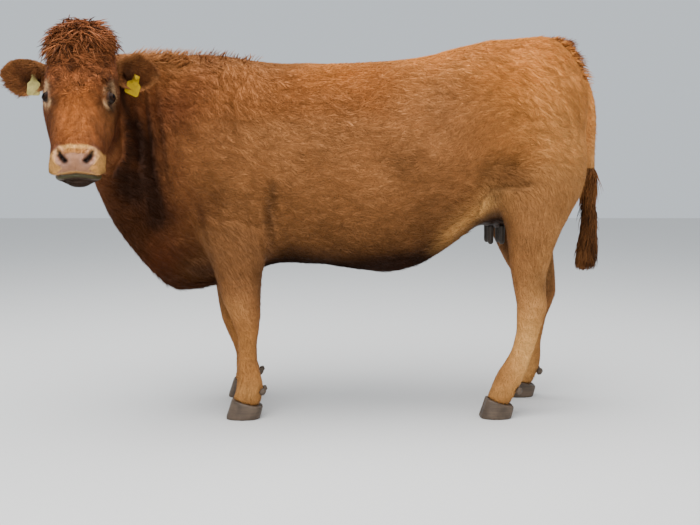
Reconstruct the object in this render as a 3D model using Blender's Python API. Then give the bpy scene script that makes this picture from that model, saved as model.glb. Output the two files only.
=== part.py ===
"""A red-brown polled beef cow, standing with its head turned to its left. Still, life-size model.

Metres, +Z up. The cow faces -X and its left side is towards -Y. The flesh is modelled whole: ringed
lofts for trunk, neck, head and legs are fused and smoothed, muscles and hollows are raised and sunk, the
mesh is thinned out, and thin cuts then part the body into its named pieces. Horn, eyes, ears, tail and
tags are made piece by piece. The surface is that of the coat's tips. Everything is shifted at the end, so
that the origin is at the middle of the bounding box, on the floor.
"""
import math

import bmesh
import bpy
import numpy as np
from mathutils import Matrix, Vector

# ---------------------------------------------------------------- driving dimensions
GAP = 0.0003                    # between touching pieces
CUT = 0.0005                    # width of the thin cuts through the flesh
VOXEL = 0.007                   # grain of the fused flesh before it is thinned out
HEAD_SMOOTHING = 6
BODY_SMOOTHING = 40
HEAD_REACH = 0.33               # the head keeps its finer form this far from the eyes
HEAD_BLEND = 0.15
RING_SIDES = 28
HEAD_EYE_LINE = (-0.910, -0.550, 1.206)     # the point midway between the eyes
HEAD_YAW = math.radians(11.7)               # the nose swings this far towards +X from straight out at -Y
FACE_SLOPE = math.radians(39.8)             # the face's lean from upright, nose outwards
HEAD_CUT = (Vector((-0.925, -0.300, 1.200)), Vector((-0.400, -0.9165, 0.0)))    # a point, the way to the head
NECK_CUT = (Vector((-0.700, 0.000, 1.000)), Vector((-0.9655, 0.000, 0.260)))    # a point, the way to the neck
HEAD_TRIANGLES = 1300
BODY_TRIANGLES = 2500
CUT_MARGIN = 0.020              # flesh kept past a cut while it is thinned out
KNEE_HEIGHTS = {"left": 0.375, "right": 0.335}
HOCK_HEIGHT = 0.450
EYE_RADIUS = 0.0195
EYE_PLACE = (0.004, 0.100, 0.002)           # head frame: nosewards, sideways, out of the forehead
CORONET_FRONT = 0.080                       # height of the hoof's upper edge at the toe
CORONET_BACK = 0.046                        # and at the heel
CLAW_SPLIT = 0.004                          # half the cleft between the two claws of a foot
DEWCLAW_HEIGHT = 0.108
TAG_THICKNESS = 0.0022
CROWN_LEAN = 0.014              # how far the top of the crown leans to the cow's left
CROWN_START = -0.060            # the lean sets in here, nosewards of the crown
CHIN_PLACE = (0.268, 0, -0.098)             # head frame
CHIN_RADII = (0.034, 0.052, 0.034)
NEAR = -1                                   # sign of Y on the cow's left side
FAR = 1

LOOKS = {
    "coat": ((0.36, 0.13, 0.04), 0.75),
    "dark_coat": ((0.14, 0.05, 0.02), 0.8),
    "pale_coat": ((0.55, 0.33, 0.17), 0.75),
    "horn": ((0.20, 0.15, 0.10), 0.45),
    "eye": ((0.01, 0.007, 0.005), 0.05),
    "teat": ((0.03, 0.02, 0.02), 0.5),
    "tag_yellow": ((0.80, 0.70, 0.05), 0.35),
    "tag_cream": ((0.75, 0.72, 0.45), 0.35),
}

# ---------------------------------------------------------------- shape tables
# Each ring row: top or front point, bottom or back point, half width, belt (how far down the widest place
# lies), and crown and keel, the exponents of the upper and lower half (under 1 boxy, over 1 keeled).
TRUNK = [   # x, top z, bottom z, half width, belt, crown, keel
    (-0.72, 1.375, 0.540, 0.120, 0.48, 0.95, 0.95),
    (-0.64, 1.420, 0.480, 0.195, 0.48, 0.95, 0.95),
    (-0.52, 1.414, 0.500, 0.240, 0.50, 0.90, 0.90),
    (-0.40, 1.399, 0.545, 0.272, 0.50, 0.85, 0.85),
    (-0.28, 1.386, 0.585, 0.298, 0.52, 0.80, 0.78),
    (-0.12, 1.382, 0.582, 0.326, 0.55, 0.76, 0.74),
    (0.04, 1.386, 0.562, 0.345, 0.57, 0.74, 0.72),
    (0.17, 1.394, 0.555, 0.350, 0.57, 0.74, 0.74),
    (0.30, 1.411, 0.597, 0.342, 0.55, 0.72, 0.76),
    (0.42, 1.442, 0.672, 0.322, 0.51, 0.70, 0.80),
    (0.52, 1.465, 0.742, 0.300, 0.48, 0.70, 0.85),
    (0.64, 1.478, 0.775, 0.282, 0.50, 0.74, 0.85),
    (0.75, 1.488, 0.790, 0.268, 0.52, 0.82, 0.80),
    (0.82, 1.464, 0.830, 0.242, 0.52, 0.88, 0.80),
    (0.88, 1.400, 0.890, 0.190, 0.52, 0.92, 0.85),
    (0.918, 1.300, 0.990, 0.095, 0.50, 1.00, 1.00),
]
NECK = [    # crest x, y, z, throat x, y, z, half width, belt, crown, keel
    (-0.58, 0.000, 1.405, -0.62, 0.000, 0.478, 0.215, 0.48, 0.95, 0.98),
    (-0.66, -0.005, 1.421, -0.728, 0.000, 0.480, 0.190, 0.44, 1.00, 1.15),
    (-0.74, -0.040, 1.422, -0.834, -0.030, 0.586, 0.168, 0.40, 1.00, 1.40),
    (-0.81, -0.110, 1.412, -0.915, -0.110, 0.728, 0.150, 0.38, 1.00, 1.50),
    (-0.87, -0.210, 1.395, -0.930, -0.210, 0.865, 0.136, 0.38, 1.00, 1.40),
    (-0.91, -0.310, 1.390, -0.935, -0.310, 0.985, 0.128, 0.40, 1.00, 1.15),
    (-0.93, -0.400, 1.375, -0.940, -0.400, 1.060, 0.112, 0.42, 1.00, 1.00),
]
HEAD = [    # head frame: nosewards and out at the top, the same below, half width, belt, crown, keel
    (-0.297, -0.015, -0.250, -0.100, 0.042, 0.45, 1.00, 1.00),
    (-0.288, 0.035, -0.225, -0.155, 0.074, 0.44, 0.90, 1.00),
    (-0.262, 0.072, -0.190, -0.190, 0.098, 0.43, 0.85, 0.90),
    (-0.215, 0.094, -0.155, -0.210, 0.114, 0.44, 0.82, 0.85),
    (-0.155, 0.097, -0.115, -0.220, 0.124, 0.48, 0.80, 0.80),
    (-0.080, 0.088, -0.060, -0.220, 0.131, 0.52, 0.80, 0.76),
    (0.000, 0.074, 0.015, -0.207, 0.126, 0.54, 0.84, 0.72),
    (0.060, 0.061, 0.070, -0.190, 0.114, 0.55, 0.84, 0.70),
    (0.120, 0.051, 0.120, -0.172, 0.101, 0.52, 0.82, 0.70),
    (0.180, 0.046, 0.170, -0.157, 0.092, 0.50, 0.78, 0.70),
    (0.230, 0.047, 0.215, -0.146, 0.090, 0.48, 0.74, 0.72),
    (0.268, 0.048, 0.252, -0.138, 0.088, 0.46, 0.68, 0.72),
    (0.297, 0.042, 0.280, -0.118, 0.084, 0.46, 0.68, 0.75),
    (0.315, 0.028, 0.296, -0.100, 0.070, 0.46, 0.75, 0.80),
    (0.323, 0.008, 0.306, -0.080, 0.045, 0.46, 0.85, 0.85),
]
LEG_ROUNDNESS = (0.45, 0.85, 0.85)          # belt, crown and keel of every leg's ring
FORELEG_NEAR = [    # z, front x, back x, y off the middle, half width
    (0.940, -0.640, -0.420, 0.125, 0.060),
    (0.830, -0.625, -0.350, 0.165, 0.078),
    (0.720, -0.590, -0.322, 0.188, 0.084),
    (0.637, -0.548, -0.318, 0.198, 0.078),
    (0.551, -0.519, -0.331, 0.200, 0.068),
    (0.466, -0.497, -0.336, 0.198, 0.060),
    (0.408, -0.471, -0.336, 0.195, 0.056),
    (0.369, -0.456, -0.341, 0.192, 0.054),
    (0.318, -0.440, -0.350, 0.190, 0.044),
    (0.275, -0.440, -0.354, 0.188, 0.037),
    (0.215, -0.441, -0.350, 0.186, 0.037),
    (0.153, -0.445, -0.336, 0.184, 0.046),
    (0.110, -0.448, -0.334, 0.182, 0.048),
    (0.075, -0.460, -0.343, 0.180, 0.053),
    (0.035, -0.475, -0.358, 0.180, 0.058),
]
FORELEG_FAR = [
    (0.940, -0.650, -0.430, 0.125, 0.060),
    (0.830, -0.645, -0.380, 0.165, 0.078),
    (0.720, -0.630, -0.365, 0.188, 0.084),
    (0.637, -0.607, -0.385, 0.192, 0.078),
    (0.551, -0.592, -0.405, 0.190, 0.068),
    (0.470, -0.580, -0.427, 0.185, 0.060),
    (0.400, -0.565, -0.440, 0.180, 0.056),
    (0.340, -0.555, -0.442, 0.176, 0.054),
    (0.275, -0.530, -0.438, 0.172, 0.044),
    (0.225, -0.507, -0.424, 0.170, 0.037),
    (0.180, -0.492, -0.404, 0.168, 0.038),
    (0.140, -0.487, -0.386, 0.166, 0.046),
    (0.105, -0.488, -0.377, 0.165, 0.048),
    (0.075, -0.497, -0.380, 0.165, 0.053),
    (0.035, -0.510, -0.395, 0.165, 0.058),
]
HINDLEG_NEAR = [
    (1.280, 0.640, 0.860, 0.100, 0.080),
    (1.150, 0.590, 0.890, 0.125, 0.112),
    (1.020, 0.558, 0.908, 0.142, 0.128),
    (0.920, 0.550, 0.902, 0.155, 0.122),
    (0.840, 0.562, 0.873, 0.168, 0.110),
    (0.754, 0.588, 0.824, 0.182, 0.092),
    (0.680, 0.597, 0.792, 0.186, 0.080),
    (0.600, 0.606, 0.768, 0.188, 0.067),
    (0.524, 0.620, 0.758, 0.188, 0.054),
    (0.450, 0.635, 0.768, 0.187, 0.048),
    (0.400, 0.636, 0.759, 0.186, 0.044),
    (0.340, 0.635, 0.742, 0.184, 0.038),
    (0.280, 0.622, 0.725, 0.181, 0.036),
    (0.215, 0.592, 0.705, 0.178, 0.038),
    (0.155, 0.562, 0.683, 0.175, 0.046),
    (0.110, 0.542, 0.660, 0.173, 0.047),
    (0.074, 0.530, 0.638, 0.172, 0.050),
    (0.035, 0.512, 0.616, 0.172, 0.053),
]
HINDLEG_FAR = [
    (1.280, 0.640, 0.860, 0.100, 0.080),
    (1.150, 0.585, 0.890, 0.125, 0.112),
    (1.020, 0.550, 0.908, 0.142, 0.128),
    (0.920, 0.540, 0.902, 0.155, 0.122),
    (0.840, 0.555, 0.887, 0.168, 0.110),
    (0.754, 0.572, 0.872, 0.182, 0.092),
    (0.680, 0.600, 0.865, 0.186, 0.080),
    (0.600, 0.640, 0.872, 0.188, 0.067),
    (0.524, 0.686, 0.882, 0.186, 0.054),
    (0.450, 0.742, 0.886, 0.183, 0.048),
    (0.400, 0.750, 0.869, 0.181, 0.044),
    (0.340, 0.745, 0.847, 0.179, 0.038),
    (0.280, 0.733, 0.832, 0.176, 0.036),
    (0.215, 0.720, 0.820, 0.173, 0.038),
    (0.155, 0.708, 0.820, 0.170, 0.046),
    (0.110, 0.695, 0.812, 0.168, 0.047),
    (0.074, 0.682, 0.792, 0.167, 0.050),
    (0.035, 0.666, 0.771, 0.167, 0.053),
]
# Muscles, bony points and hollows, in pairs: centre x, distance off the middle, z, three spreads,
# and how far the surface rises there, or sinks where it is negative
SWELLINGS = [
    (-0.480, 0.260, 1.100, 0.110, 0.120, 0.220, 0.028),      # shoulder blade
    (-0.290, 0.300, 0.960, 0.055, 0.120, 0.260, -0.018),     # hollow behind the shoulder
    (-0.640, 0.190, 0.880, 0.080, 0.100, 0.110, 0.030),      # point of the shoulder
    (-0.690, 0.170, 1.160, 0.050, 0.100, 0.220, -0.020),     # groove between neck and shoulder
    (-0.430, 0.260, 0.800, 0.110, 0.100, 0.120, 0.022),      # upper arm
    (0.500, 0.270, 1.370, 0.070, 0.080, 0.055, 0.016),       # hook bone
    (0.360, 0.290, 1.270, 0.090, 0.100, 0.080, -0.012),      # hollow of the loin
    (0.700, 0.260, 1.120, 0.130, 0.120, 0.090, 0.016),       # thigh
    (0.820, 0.220, 1.020, 0.090, 0.120, 0.150, 0.012),       # ham
    (0.900, 0.120, 1.260, 0.060, 0.060, 0.080, 0.014),       # pin bone
    (0.625, 0.275, 0.990, 0.085, 0.100, 0.040, -0.016),      # crease above the stifle
    (0.580, 0.250, 0.900, 0.070, 0.100, 0.080, 0.022),       # stifle
]
# The same in the head frame: nosewards, sideways, outwards, the spreads and the rise
HEAD_SWELLINGS = [
    (-0.034, 0.104, 0.034, 0.032, 0.024, 0.022, 0.010),      # brow
    (0.006, 0.116, -0.002, 0.026, 0.030, 0.018, -0.007),     # eye socket
    (0.045, 0.105, -0.040, 0.050, 0.030, 0.026, 0.003),      # cheekbone
    (0.110, 0.095, -0.030, 0.060, 0.030, 0.030, -0.006),     # hollow before the cheek
    (0.300, 0.060, 0.026, 0.026, 0.030, 0.022, 0.009),       # nostril wing
    (0.300, 0.060, -0.018, 0.030, 0.040, 0.024, 0.009),      # upper lip
    (0.316, 0.000, -0.040, 0.030, 0.060, 0.007, -0.008),     # mouth
]
EAR = [     # distance from the root, half width, depth of the cup, thickness, forward curl
    (-0.020, 0.036, 0.000, 0.050, 0.000),
    (0.020, 0.041, 0.004, 0.044, 0.000),
    (0.055, 0.053, 0.018, 0.026, 0.004),
    (0.095, 0.064, 0.028, 0.015, 0.006),
    (0.135, 0.066, 0.026, 0.012, 0.006),
    (0.175, 0.055, 0.018, 0.011, 0.005),
    (0.205, 0.034, 0.008, 0.010, 0.004),
    (0.220, 0.012, 0.001, 0.008, 0.004),
]
EAR_SIDES = 6
EAR_EDGE = 0.02                 # keeps the ear's rim from running out to nothing
EAR_LENGTH = 0.220
EARS = {    # root, tip, and the way the cup opens
    "left": ((-0.836, -0.410, 1.298), (-0.704, -0.272, 1.320), (0.25, -0.80, -0.05)),
    "right": ((-1.030, -0.452, 1.286), (-1.252, -0.340, 1.289), (-0.45, -0.85, -0.05)),
}
TAGS = {    # the stud's place, the way the tag faces, its way up, its finish
    "left": ((-0.766, -0.342, 1.290), (0.55, -0.83, 0.10), (0.26, 0.30, 0.92), "tag_yellow"),
    "right": ((-1.105, -0.416, 1.288), (-0.25, -0.96, 0.08), (0.10, 0.22, 0.97), "tag_cream"),
}
TAG_OUTLINE = [(-0.010, 0.010), (0.010, 0.010), (0.013, -0.014), (0.025, -0.024), (0.026, -0.060),
               (0.020, -0.066), (-0.020, -0.066), (-0.026, -0.060), (-0.025, -0.024), (-0.013, -0.014)]
STUD = [(0.006, 0.0062), (0.009, 0.0045), (0.009, 0.0026), (0.0035, 0.0026), (0.0035, -0.0340),
        (0.0100, -0.0340), (0.0100, -0.0370)]       # radius, and height along the way the tag faces
SWITCH_TOP = 0.960                          # where the long hair begins
SWITCH_REACH = 0.004                        # the end rings lie this near it
DOCK = [    # the bony tail: x, z, radius
    (0.780, 1.452, 0.026), (0.812, 1.446, 0.030), (0.863, 1.405, 0.031), (0.902, 1.340, 0.031),
    (0.935, 1.267, 0.030), (0.953, 1.195, 0.028), (0.959, 1.079, 0.026), (0.959, SWITCH_TOP, 0.024),
]
SWITCH = [  # the long hair below it: x, z, radius
    (0.959, SWITCH_TOP, 0.024), (0.957, 0.900, 0.026), (0.962, 0.830, 0.031), (0.961, 0.760, 0.037),
    (0.960, 0.690, 0.043), (0.954, 0.640, 0.044), (0.949, 0.598, 0.037), (0.952, 0.553, 0.016),
]
SWITCH_FLATNESS = 0.85                      # its width over its depth
CLAW_SIDES = 9
CLAW_TOE = 0.024                            # how far the toe stands out before the coronet
CLAW_HEEL = 0.010                           # how far the heel is drawn in under it
CLAW_BULB = 0.008                           # and at the sole
CLAW_BACK = 0.004                           # how far the bulb stands out behind the pastern
CLAW_ROUNDNESS = 0.6                        # exponent of the outer wall's curve
CLAW_LEVELS = [     # height of a ring, as a share of the coronet's height or in metres, lean, spread
    (0.0, 0.0, 1.06),
    (0.006, 0.0, 1.08),
    (0.5, 0.5, 1.03),
    (1.0, 1.0, 0.97),
]
SOLE_EDGE = 0.1                             # levels under this are metres above the sole
INNER_WALL = (0.67, 0.33)                   # places of two points along the straight inner wall
DEWCLAW_RADII = (0.015, 0.013, 0.019)
DEWCLAW_TILT = 0.5                          # radians
DEWCLAW_SPREAD = 0.52                       # off the leg's middle, as a share of its half width
DEWCLAW_SINK = 0.004
TEAT = [(0.005, 0), (0.010, 0.003), (0.0125, 0.012), (0.0125, 0.040), (0.014, 0.075)]   # radius, height
ROUND_SIDES = 7                             # faces round a teat or a stud
TUBE_SIDES = 8
SEAT = 0.0010                               # clearance round what is sunk into flesh
UDDER_CENTRE = (0.600, 0.000, 0.810)
UDDER_RADII = (0.130, 0.095, 0.082)
UDDER_CELL_X = (0.460, 0.760)
UDDER_CELL = [(-0.0935, 0.600), (0.0935, 0.600), (0.0935, 0.780), (-0.0935, 0.780)]     # Y and Z
TEATS = [(0.559, 0.050, 0.668, "front"), (0.604, 0.046, 0.668, "rear")]     # x, off the middle, tip z
FORE_CELL_X = (-0.670, -0.305)
FORE_CELL = [(0.450, -0.050), (0.095, -0.050), (0.095, 0.560), (0.450, 0.988)]  # off the middle, z
HIND_CELL_X = (0.490, 1.000)
HIND_CELL = [(0.450, -0.050), (0.040, -0.050), (0.040, 0.680), (0.095, 0.760), (0.095, 0.840),
             (0.450, 1.120)]



# ---------------------------------------------------------------- frames and small helpers
def head_matrix():
    """The head's own frame: X nosewards along the face, Y to the cow's left, Z out of the forehead."""
    lean, yaw = FACE_SLOPE, HEAD_YAW
    nose = Vector((math.sin(lean) * math.sin(yaw), -math.sin(lean) * math.cos(yaw), -math.cos(lean)))
    left = Vector((math.cos(yaw), math.sin(yaw), 0.0))
    out = nose.cross(left)
    turn = Matrix((nose, left, out)).transposed().to_4x4()
    return Matrix.Translation(HEAD_EYE_LINE) @ turn


TO_HEAD = head_matrix()


def in_head(nosewards, sideways, outwards):
    """A point of the head frame, in the body's frame."""
    return TO_HEAD @ Vector((nosewards, sideways, outwards))


def material(name):
    """One plain material for each finish in LOOKS."""
    found = bpy.data.materials.get(name)
    if found:
        return found
    colour, roughness = LOOKS[name]
    made = bpy.data.materials.new(name)
    made.use_nodes = True
    shader = made.node_tree.nodes["Principled BSDF"]
    shader.inputs["Base Color"].default_value = (*colour, 1.0)
    shader.inputs["Roughness"].default_value = roughness
    shader.inputs["Metallic"].default_value = 0.0
    made.diffuse_color = (*colour, 1.0)
    return made


def add_object(name, bm, look):
    """A named object from a bmesh, smooth shaded, with its own material."""
    mesh = bpy.data.meshes.new(name)
    bmesh.ops.recalc_face_normals(bm, faces=bm.faces[:])
    bm.to_mesh(mesh)
    bm.free()
    mesh.shade_smooth()
    mesh.set_sharp_from_angle(angle=math.radians(50))
    mesh.materials.append(material(look))
    thing = bpy.data.objects.new(name, mesh)
    bpy.context.scene.collection.objects.link(thing)
    return thing


def in_between(rows, steps):
    """Rows of numbers with smooth rows between them, on Catmull-Rom curves."""
    knots = np.array(rows, dtype=float)
    padded = np.vstack([2 * knots[0] - knots[1], knots, 2 * knots[-1] - knots[-2]])
    result = []
    for i in range(1, len(knots)):
        before, here, there, after = padded[i - 1:i + 3]
        for step in range(steps):
            t = step / steps
            result.append(0.5 * (2 * here + (there - before) * t
                                 + (2 * before - 5 * here + 4 * there - after) * t ** 2
                                 + (3 * here - before - 3 * there + after) * t ** 3))
    result.append(knots[-1])
    return result


# ---------------------------------------------------------------- shapes of flesh
def ring_points(top, bottom, side, half, belt, crown, keel, sides=RING_SIDES):
    """An egg-shaped ring from its top to its bottom point, widest at the belt."""
    points = []
    for i in range(sides):
        angle = math.tau * i / sides
        across, along = math.sin(angle), math.cos(angle)
        power = crown if along >= 0 else keel
        down = belt * (1 - along) if along >= 0 else belt - (1 - belt) * along
        width = half * math.copysign(abs(across) ** power, across)
        points.append(top + (bottom - top) * down + side * width)
    return points


def loft(bm, rings):
    """Skin over rings of equal count, closed at both ends."""
    loops = [[bm.verts.new(p) for p in ring] for ring in rings]
    count = len(loops[0])
    for lower, upper in zip(loops, loops[1:]):
        for i in range(count):
            j = (i + 1) % count
            bm.faces.new((lower[i], lower[j], upper[j], upper[i]))
    bm.faces.new(loops[0][::-1])
    bm.faces.new(loops[-1])


def ringed_loft(bm, stations):
    """Loft through stations of top point, bottom point, half width, belt, crown and keel."""
    tops = [Vector(s[0:3]) for s in stations]
    bottoms = [Vector(s[3:6]) for s in stations]
    middles = [(t + b) / 2 for t, b in zip(tops, bottoms)]
    rings = []
    for i, station in enumerate(stations):
        onward = middles[min(i + 1, len(middles) - 1)] - middles[max(i - 1, 0)]
        side = (bottoms[i] - tops[i]).cross(onward).normalized()
        rings.append(ring_points(tops[i], bottoms[i], side, *station[6:10]))
    loft(bm, rings)


def ellipsoid(bm, centre, radii, frame):
    """A ball stretched to three radii, placed in a frame."""
    place = frame @ Matrix.Translation(centre) @ Matrix.Diagonal((*radii, 1.0))
    bmesh.ops.create_uvsphere(bm, u_segments=24, v_segments=14, radius=1.0, matrix=place)


def add_trunk(bm):
    rows = [(x, 0, top, x, 0, bottom, half, belt, crown, keel)
            for x, top, bottom, half, belt, crown, keel in TRUNK]
    ringed_loft(bm, in_between(rows, 3))


def add_neck(bm):
    ringed_loft(bm, in_between(NECK, 4))


def add_head(bm):
    rows = []
    for a_top, c_top, a_bottom, c_bottom, *shape in HEAD:
        lean = CROWN_LEAN * max(0.0, (CROWN_START - a_top) / (CROWN_START - HEAD[0][0]))
        rows.append((*in_head(a_top, lean, c_top), *in_head(a_bottom, 0, c_bottom), *shape))
    ringed_loft(bm, in_between(rows, 3))
    ellipsoid(bm, CHIN_PLACE, CHIN_RADII, TO_HEAD)


def add_leg(bm, table, side):
    rows = [(front, side * off, z, back, side * off, z, half, *LEG_ROUNDNESS)
            for z, front, back, off, half in table]
    ringed_loft(bm, in_between(rows, 3))


def swell(places, normals, centre, spreads, rise, turn=None):
    """Raise or sink a patch of surface along its normals, fading out evenly round the centre."""
    offset = places - np.array(centre)
    if turn is not None:
        offset = offset @ turn
    fade = np.exp(-np.sum((offset / np.array(spreads)) ** 2, axis=1))
    places += normals * (rise * fade)[:, None]


def model_surface(thing):
    """Muscles, bony points and hollows, on the fused flesh."""
    mesh = thing.data
    places = np.empty(len(mesh.vertices) * 3)
    normals = np.empty(len(mesh.vertices) * 3)
    mesh.vertices.foreach_get("co", places)
    mesh.vertices.foreach_get("normal", normals)
    places, normals = places.reshape(-1, 3), normals.reshape(-1, 3)
    for x, off, z, sx, sy, sz, rise in SWELLINGS:
        for side in (NEAR, FAR):
            swell(places, normals, (x, side * off, z), (sx, sy, sz), rise)
    turn = np.array(TO_HEAD.to_3x3())
    for a, b, c, sa, sb, sc, rise in HEAD_SWELLINGS:
        for side in (-1, 1):
            swell(places, normals, in_head(a, side * b, c), (sa, sb, sc), rise / (1 if b else 2), turn)
    mesh.vertices.foreach_set("co", places.ravel())
    mesh.update()


def add_udder(bm):
    ellipsoid(bm, UDDER_CENTRE, UDDER_RADII, Matrix.Identity(4))


def fuse(bm):
    """Fuse overlapping closed shapes into one skin of even grain, and smooth it, least on the head."""
    whole = add_object("flesh", bm, "coat")
    remesh = whole.modifiers.new("fuse", "REMESH")
    remesh.mode = "VOXEL"
    remesh.voxel_size = VOXEL
    bake_modifiers(whole)
    body = whole.vertex_groups.new(name="body")
    for vertex in whole.data.vertices:
        far = (vertex.co - Vector(HEAD_EYE_LINE)).length - HEAD_REACH
        body.add([vertex.index], min(max(far / HEAD_BLEND, 0.0), 1.0), "REPLACE")
    for group, rounds in (("", HEAD_SMOOTHING), ("body", BODY_SMOOTHING)):
        smooth = whole.modifiers.new("smooth", "SMOOTH")
        smooth.factor = 0.5
        smooth.iterations = rounds
        smooth.vertex_group = group
    bake_modifiers(whole)
    return whole


def thin_out(thing, triangles):
    """Collapse edges down to a count of triangles."""
    now = sum(len(p.vertices) - 2 for p in thing.data.polygons)
    decimate = thing.modifiers.new("thin", "DECIMATE")
    decimate.ratio = triangles / now
    bake_modifiers(thing)


def half(thing, name, point, normal):
    """A copy of a closed mesh, cut by a plane and capped, on the side that the normal leaves."""
    bm = bmesh.new()
    bm.from_mesh(thing.data)
    bmesh.ops.bisect_plane(bm, geom=bm.verts[:] + bm.edges[:] + bm.faces[:], plane_co=point,
                           plane_no=normal, clear_outer=True)
    rim = [e for e in bm.edges if e.is_boundary]
    bmesh.ops.holes_fill(bm, edges=rim, sides=0)
    return add_object(name, bm, "coat")


def bake_modifiers(thing):
    """Replace an object's mesh by its evaluated one."""
    evaluated = thing.evaluated_get(bpy.context.evaluated_depsgraph_get())
    mesh = bpy.data.meshes.new_from_object(evaluated)
    thing.modifiers.clear()
    thing.data = mesh


def combine(host, tool, operation):
    """Apply one exact Boolean to an object."""
    cut = host.modifiers.new("cut", "BOOLEAN")
    cut.solver = "EXACT"
    cut.operation = operation
    cut.object = tool
    bake_modifiers(host)


def drop(*things):
    """Delete helper objects."""
    for thing in things:
        bpy.data.objects.remove(thing)


def copy_of(thing, name, grow=0.0):
    """A copy of an object, with its surface moved out along its normals."""
    mesh = thing.data.copy()
    if grow:
        moved = [v.co + v.normal * grow for v in mesh.vertices]
        for vertex, place in zip(mesh.vertices, moved):
            vertex.co = place
    twin = bpy.data.objects.new(name, mesh)
    bpy.context.scene.collection.objects.link(twin)
    return twin


def seat(host, *plugs):
    """Sink sockets for plugs into a host, so that they touch without overlapping."""
    for plug in plugs:
        socket = copy_of(plug, "socket", SEAT)
        combine(host, socket, "DIFFERENCE")
        drop(socket)


def prism(name, x_range, outline, grow=0.0):
    """A cell for cutting: an outline of Y and Z points, carried along X."""
    bm = bmesh.new()
    ends = []
    for x in (x_range[0] - grow, x_range[1] + grow):
        ends.append([bm.verts.new((x, y, z)) for y, z in outline])
    bm.faces.new(ends[0])
    bm.faces.new(ends[1][::-1])
    for i in range(len(outline)):
        j = (i + 1) % len(outline)
        bm.faces.new((ends[0][i], ends[1][i], ends[1][j], ends[0][j]))
    cell = add_object(name, bm, "coat")
    if grow:
        grown = copy_of(cell, name, grow)
        drop(cell)
        return grown
    return cell


def take_out(host, name, x_range, outline):
    """Part the flesh inside a cell from its host by a thin cut."""
    part = copy_of(host, name)
    cell = prism("cell", x_range, outline)
    combine(part, cell, "INTERSECT")
    wider = prism("wider", x_range, outline, CUT)
    combine(host, wider, "DIFFERENCE")
    drop(cell, wider)
    return part


def split(thing, point, normal, near_name, far_name):
    """Part a solid in two at a plane: the piece behind the normal, and the piece ahead of it."""
    behind = half(thing, near_name, point, normal)
    ahead = half(thing, far_name, point + normal * CUT, -normal)
    drop(thing)
    return behind, ahead


# ---------------------------------------------------------------- horn, eyes, ears, tail, teats and tags
def tube(name, look, path, flat=1.0):
    """A closed tube in the plane Y = 0, along points of x, z and radius."""
    bm = bmesh.new()
    rows = in_between([(x, 0, z, radius) for x, z, radius in path], 2)
    rings = []
    for i, row in enumerate(rows):
        before, after = rows[max(i - 1, 0)], rows[min(i + 1, len(rows) - 1)]
        onward = (Vector(after[:3]) - Vector(before[:3])).normalized()
        side = Vector((0, 1, 0))
        across = side.cross(onward).normalized()
        centre, radius = Vector(row[:3]), row[3]
        rings.append([centre + across * radius * math.cos(t) + side * radius * flat * math.sin(t)
                      for t in (math.tau * k / TUBE_SIDES for k in range(TUBE_SIDES))])
    loft(bm, rings)
    return add_object(name, bm, look)


def make_tail():
    """The bony tail against the rump, and the switch of long hair below it. Their ends meet level."""
    tail = tube("tail", "coat", DOCK)
    switch = tube("tail_switch", "dark_coat", SWITCH, SWITCH_FLATNESS)
    for thing, height in ((tail, SWITCH_TOP), (switch, SWITCH_TOP - CUT)):
        for vertex in thing.data.vertices:
            if abs(vertex.co.z - SWITCH_TOP) < SWITCH_REACH:
                vertex.co.z = height
    return tail, switch


def add_lathe(name, look, profile, frame):
    """A solid turned about a frame's Z from (radius, height) points."""
    bm = bmesh.new()
    rings = []
    for radius, height in profile:
        rings.append([frame @ Vector((radius * math.cos(t), radius * math.sin(t), height))
                      for t in (math.tau * k / ROUND_SIDES for k in range(ROUND_SIDES))])
    loft(bm, rings)
    return add_object(name, bm, look)


def make_eye(name, side):
    a, b, c = EYE_PLACE
    bm = bmesh.new()
    place = Matrix.Translation(in_head(a, side * b, c))
    bmesh.ops.create_icosphere(bm, subdivisions=2, radius=EYE_RADIUS, matrix=place)
    return add_object(name, bm, "eye")


def facing_frame(origin, facing, up):
    """A frame at a point, with its Z the way it faces and its Y as near upwards as that allows."""
    out = Vector(facing).normalized()
    rise = (Vector(up) - out * out.dot(Vector(up))).normalized()
    return Matrix.Translation(origin) @ Matrix((rise.cross(out), rise, out)).transposed().to_4x4()


def ear_frame(root, tip, opening):
    """Origin at the ear's root, X to its tip, Y across its width and Z out of its opening."""
    tip_way = (Vector(tip) - Vector(root)).normalized()
    out = Vector(opening)
    out = (out - tip_way * out.dot(tip_way)).normalized()
    return Matrix.Translation(root) @ Matrix((tip_way, out.cross(tip_way), out)).transposed().to_4x4()


def make_ear(hand):
    """A cupped leaf on a round root. It stays solid to the bottom of the cup."""
    root, tip, opening = EARS[hand]
    frame = ear_frame(root, tip, opening)
    stretch = (Vector(tip) - Vector(root)).length / EAR_LENGTH
    bm = bmesh.new()
    rings = []
    for along, half_width, cup, thick, curl in in_between(EAR, 2):
        back, front = [], []
        for i in range(EAR_SIDES + 1):
            u = -math.cos(math.pi * i / EAR_SIDES)
            rise = curl + cup * (u * u - 1)
            slab = thick * math.sqrt(max(1 - u * u, EAR_EDGE))
            back.append(frame @ Vector((along * stretch, half_width * u, rise - slab / 2)))
            front.append(frame @ Vector((along * stretch, half_width * u, rise + slab / 2)))
        rings.append(back + front[::-1])
    loft(bm, rings)
    return add_object(f"ear_{hand}", bm, "coat")


def make_tag(hand):
    """A soft plastic flag hanging in front of the ear, and the stud that carries it through the ear."""
    place, facing, up, look = TAGS[hand]
    frame = facing_frame(place, facing, up)
    bm = bmesh.new()
    layers = []
    for height in (0.0, TAG_THICKNESS):
        layers.append([frame @ Vector((x, y, height)) for x, y in TAG_OUTLINE])
    loft(bm, layers)
    flag = add_object(f"ear_tag_{hand}", bm, look)
    stud = add_lathe(f"ear_tag_stud_{hand}", look, STUD, frame)
    seat(flag, stud)
    return flag, stud


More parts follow.
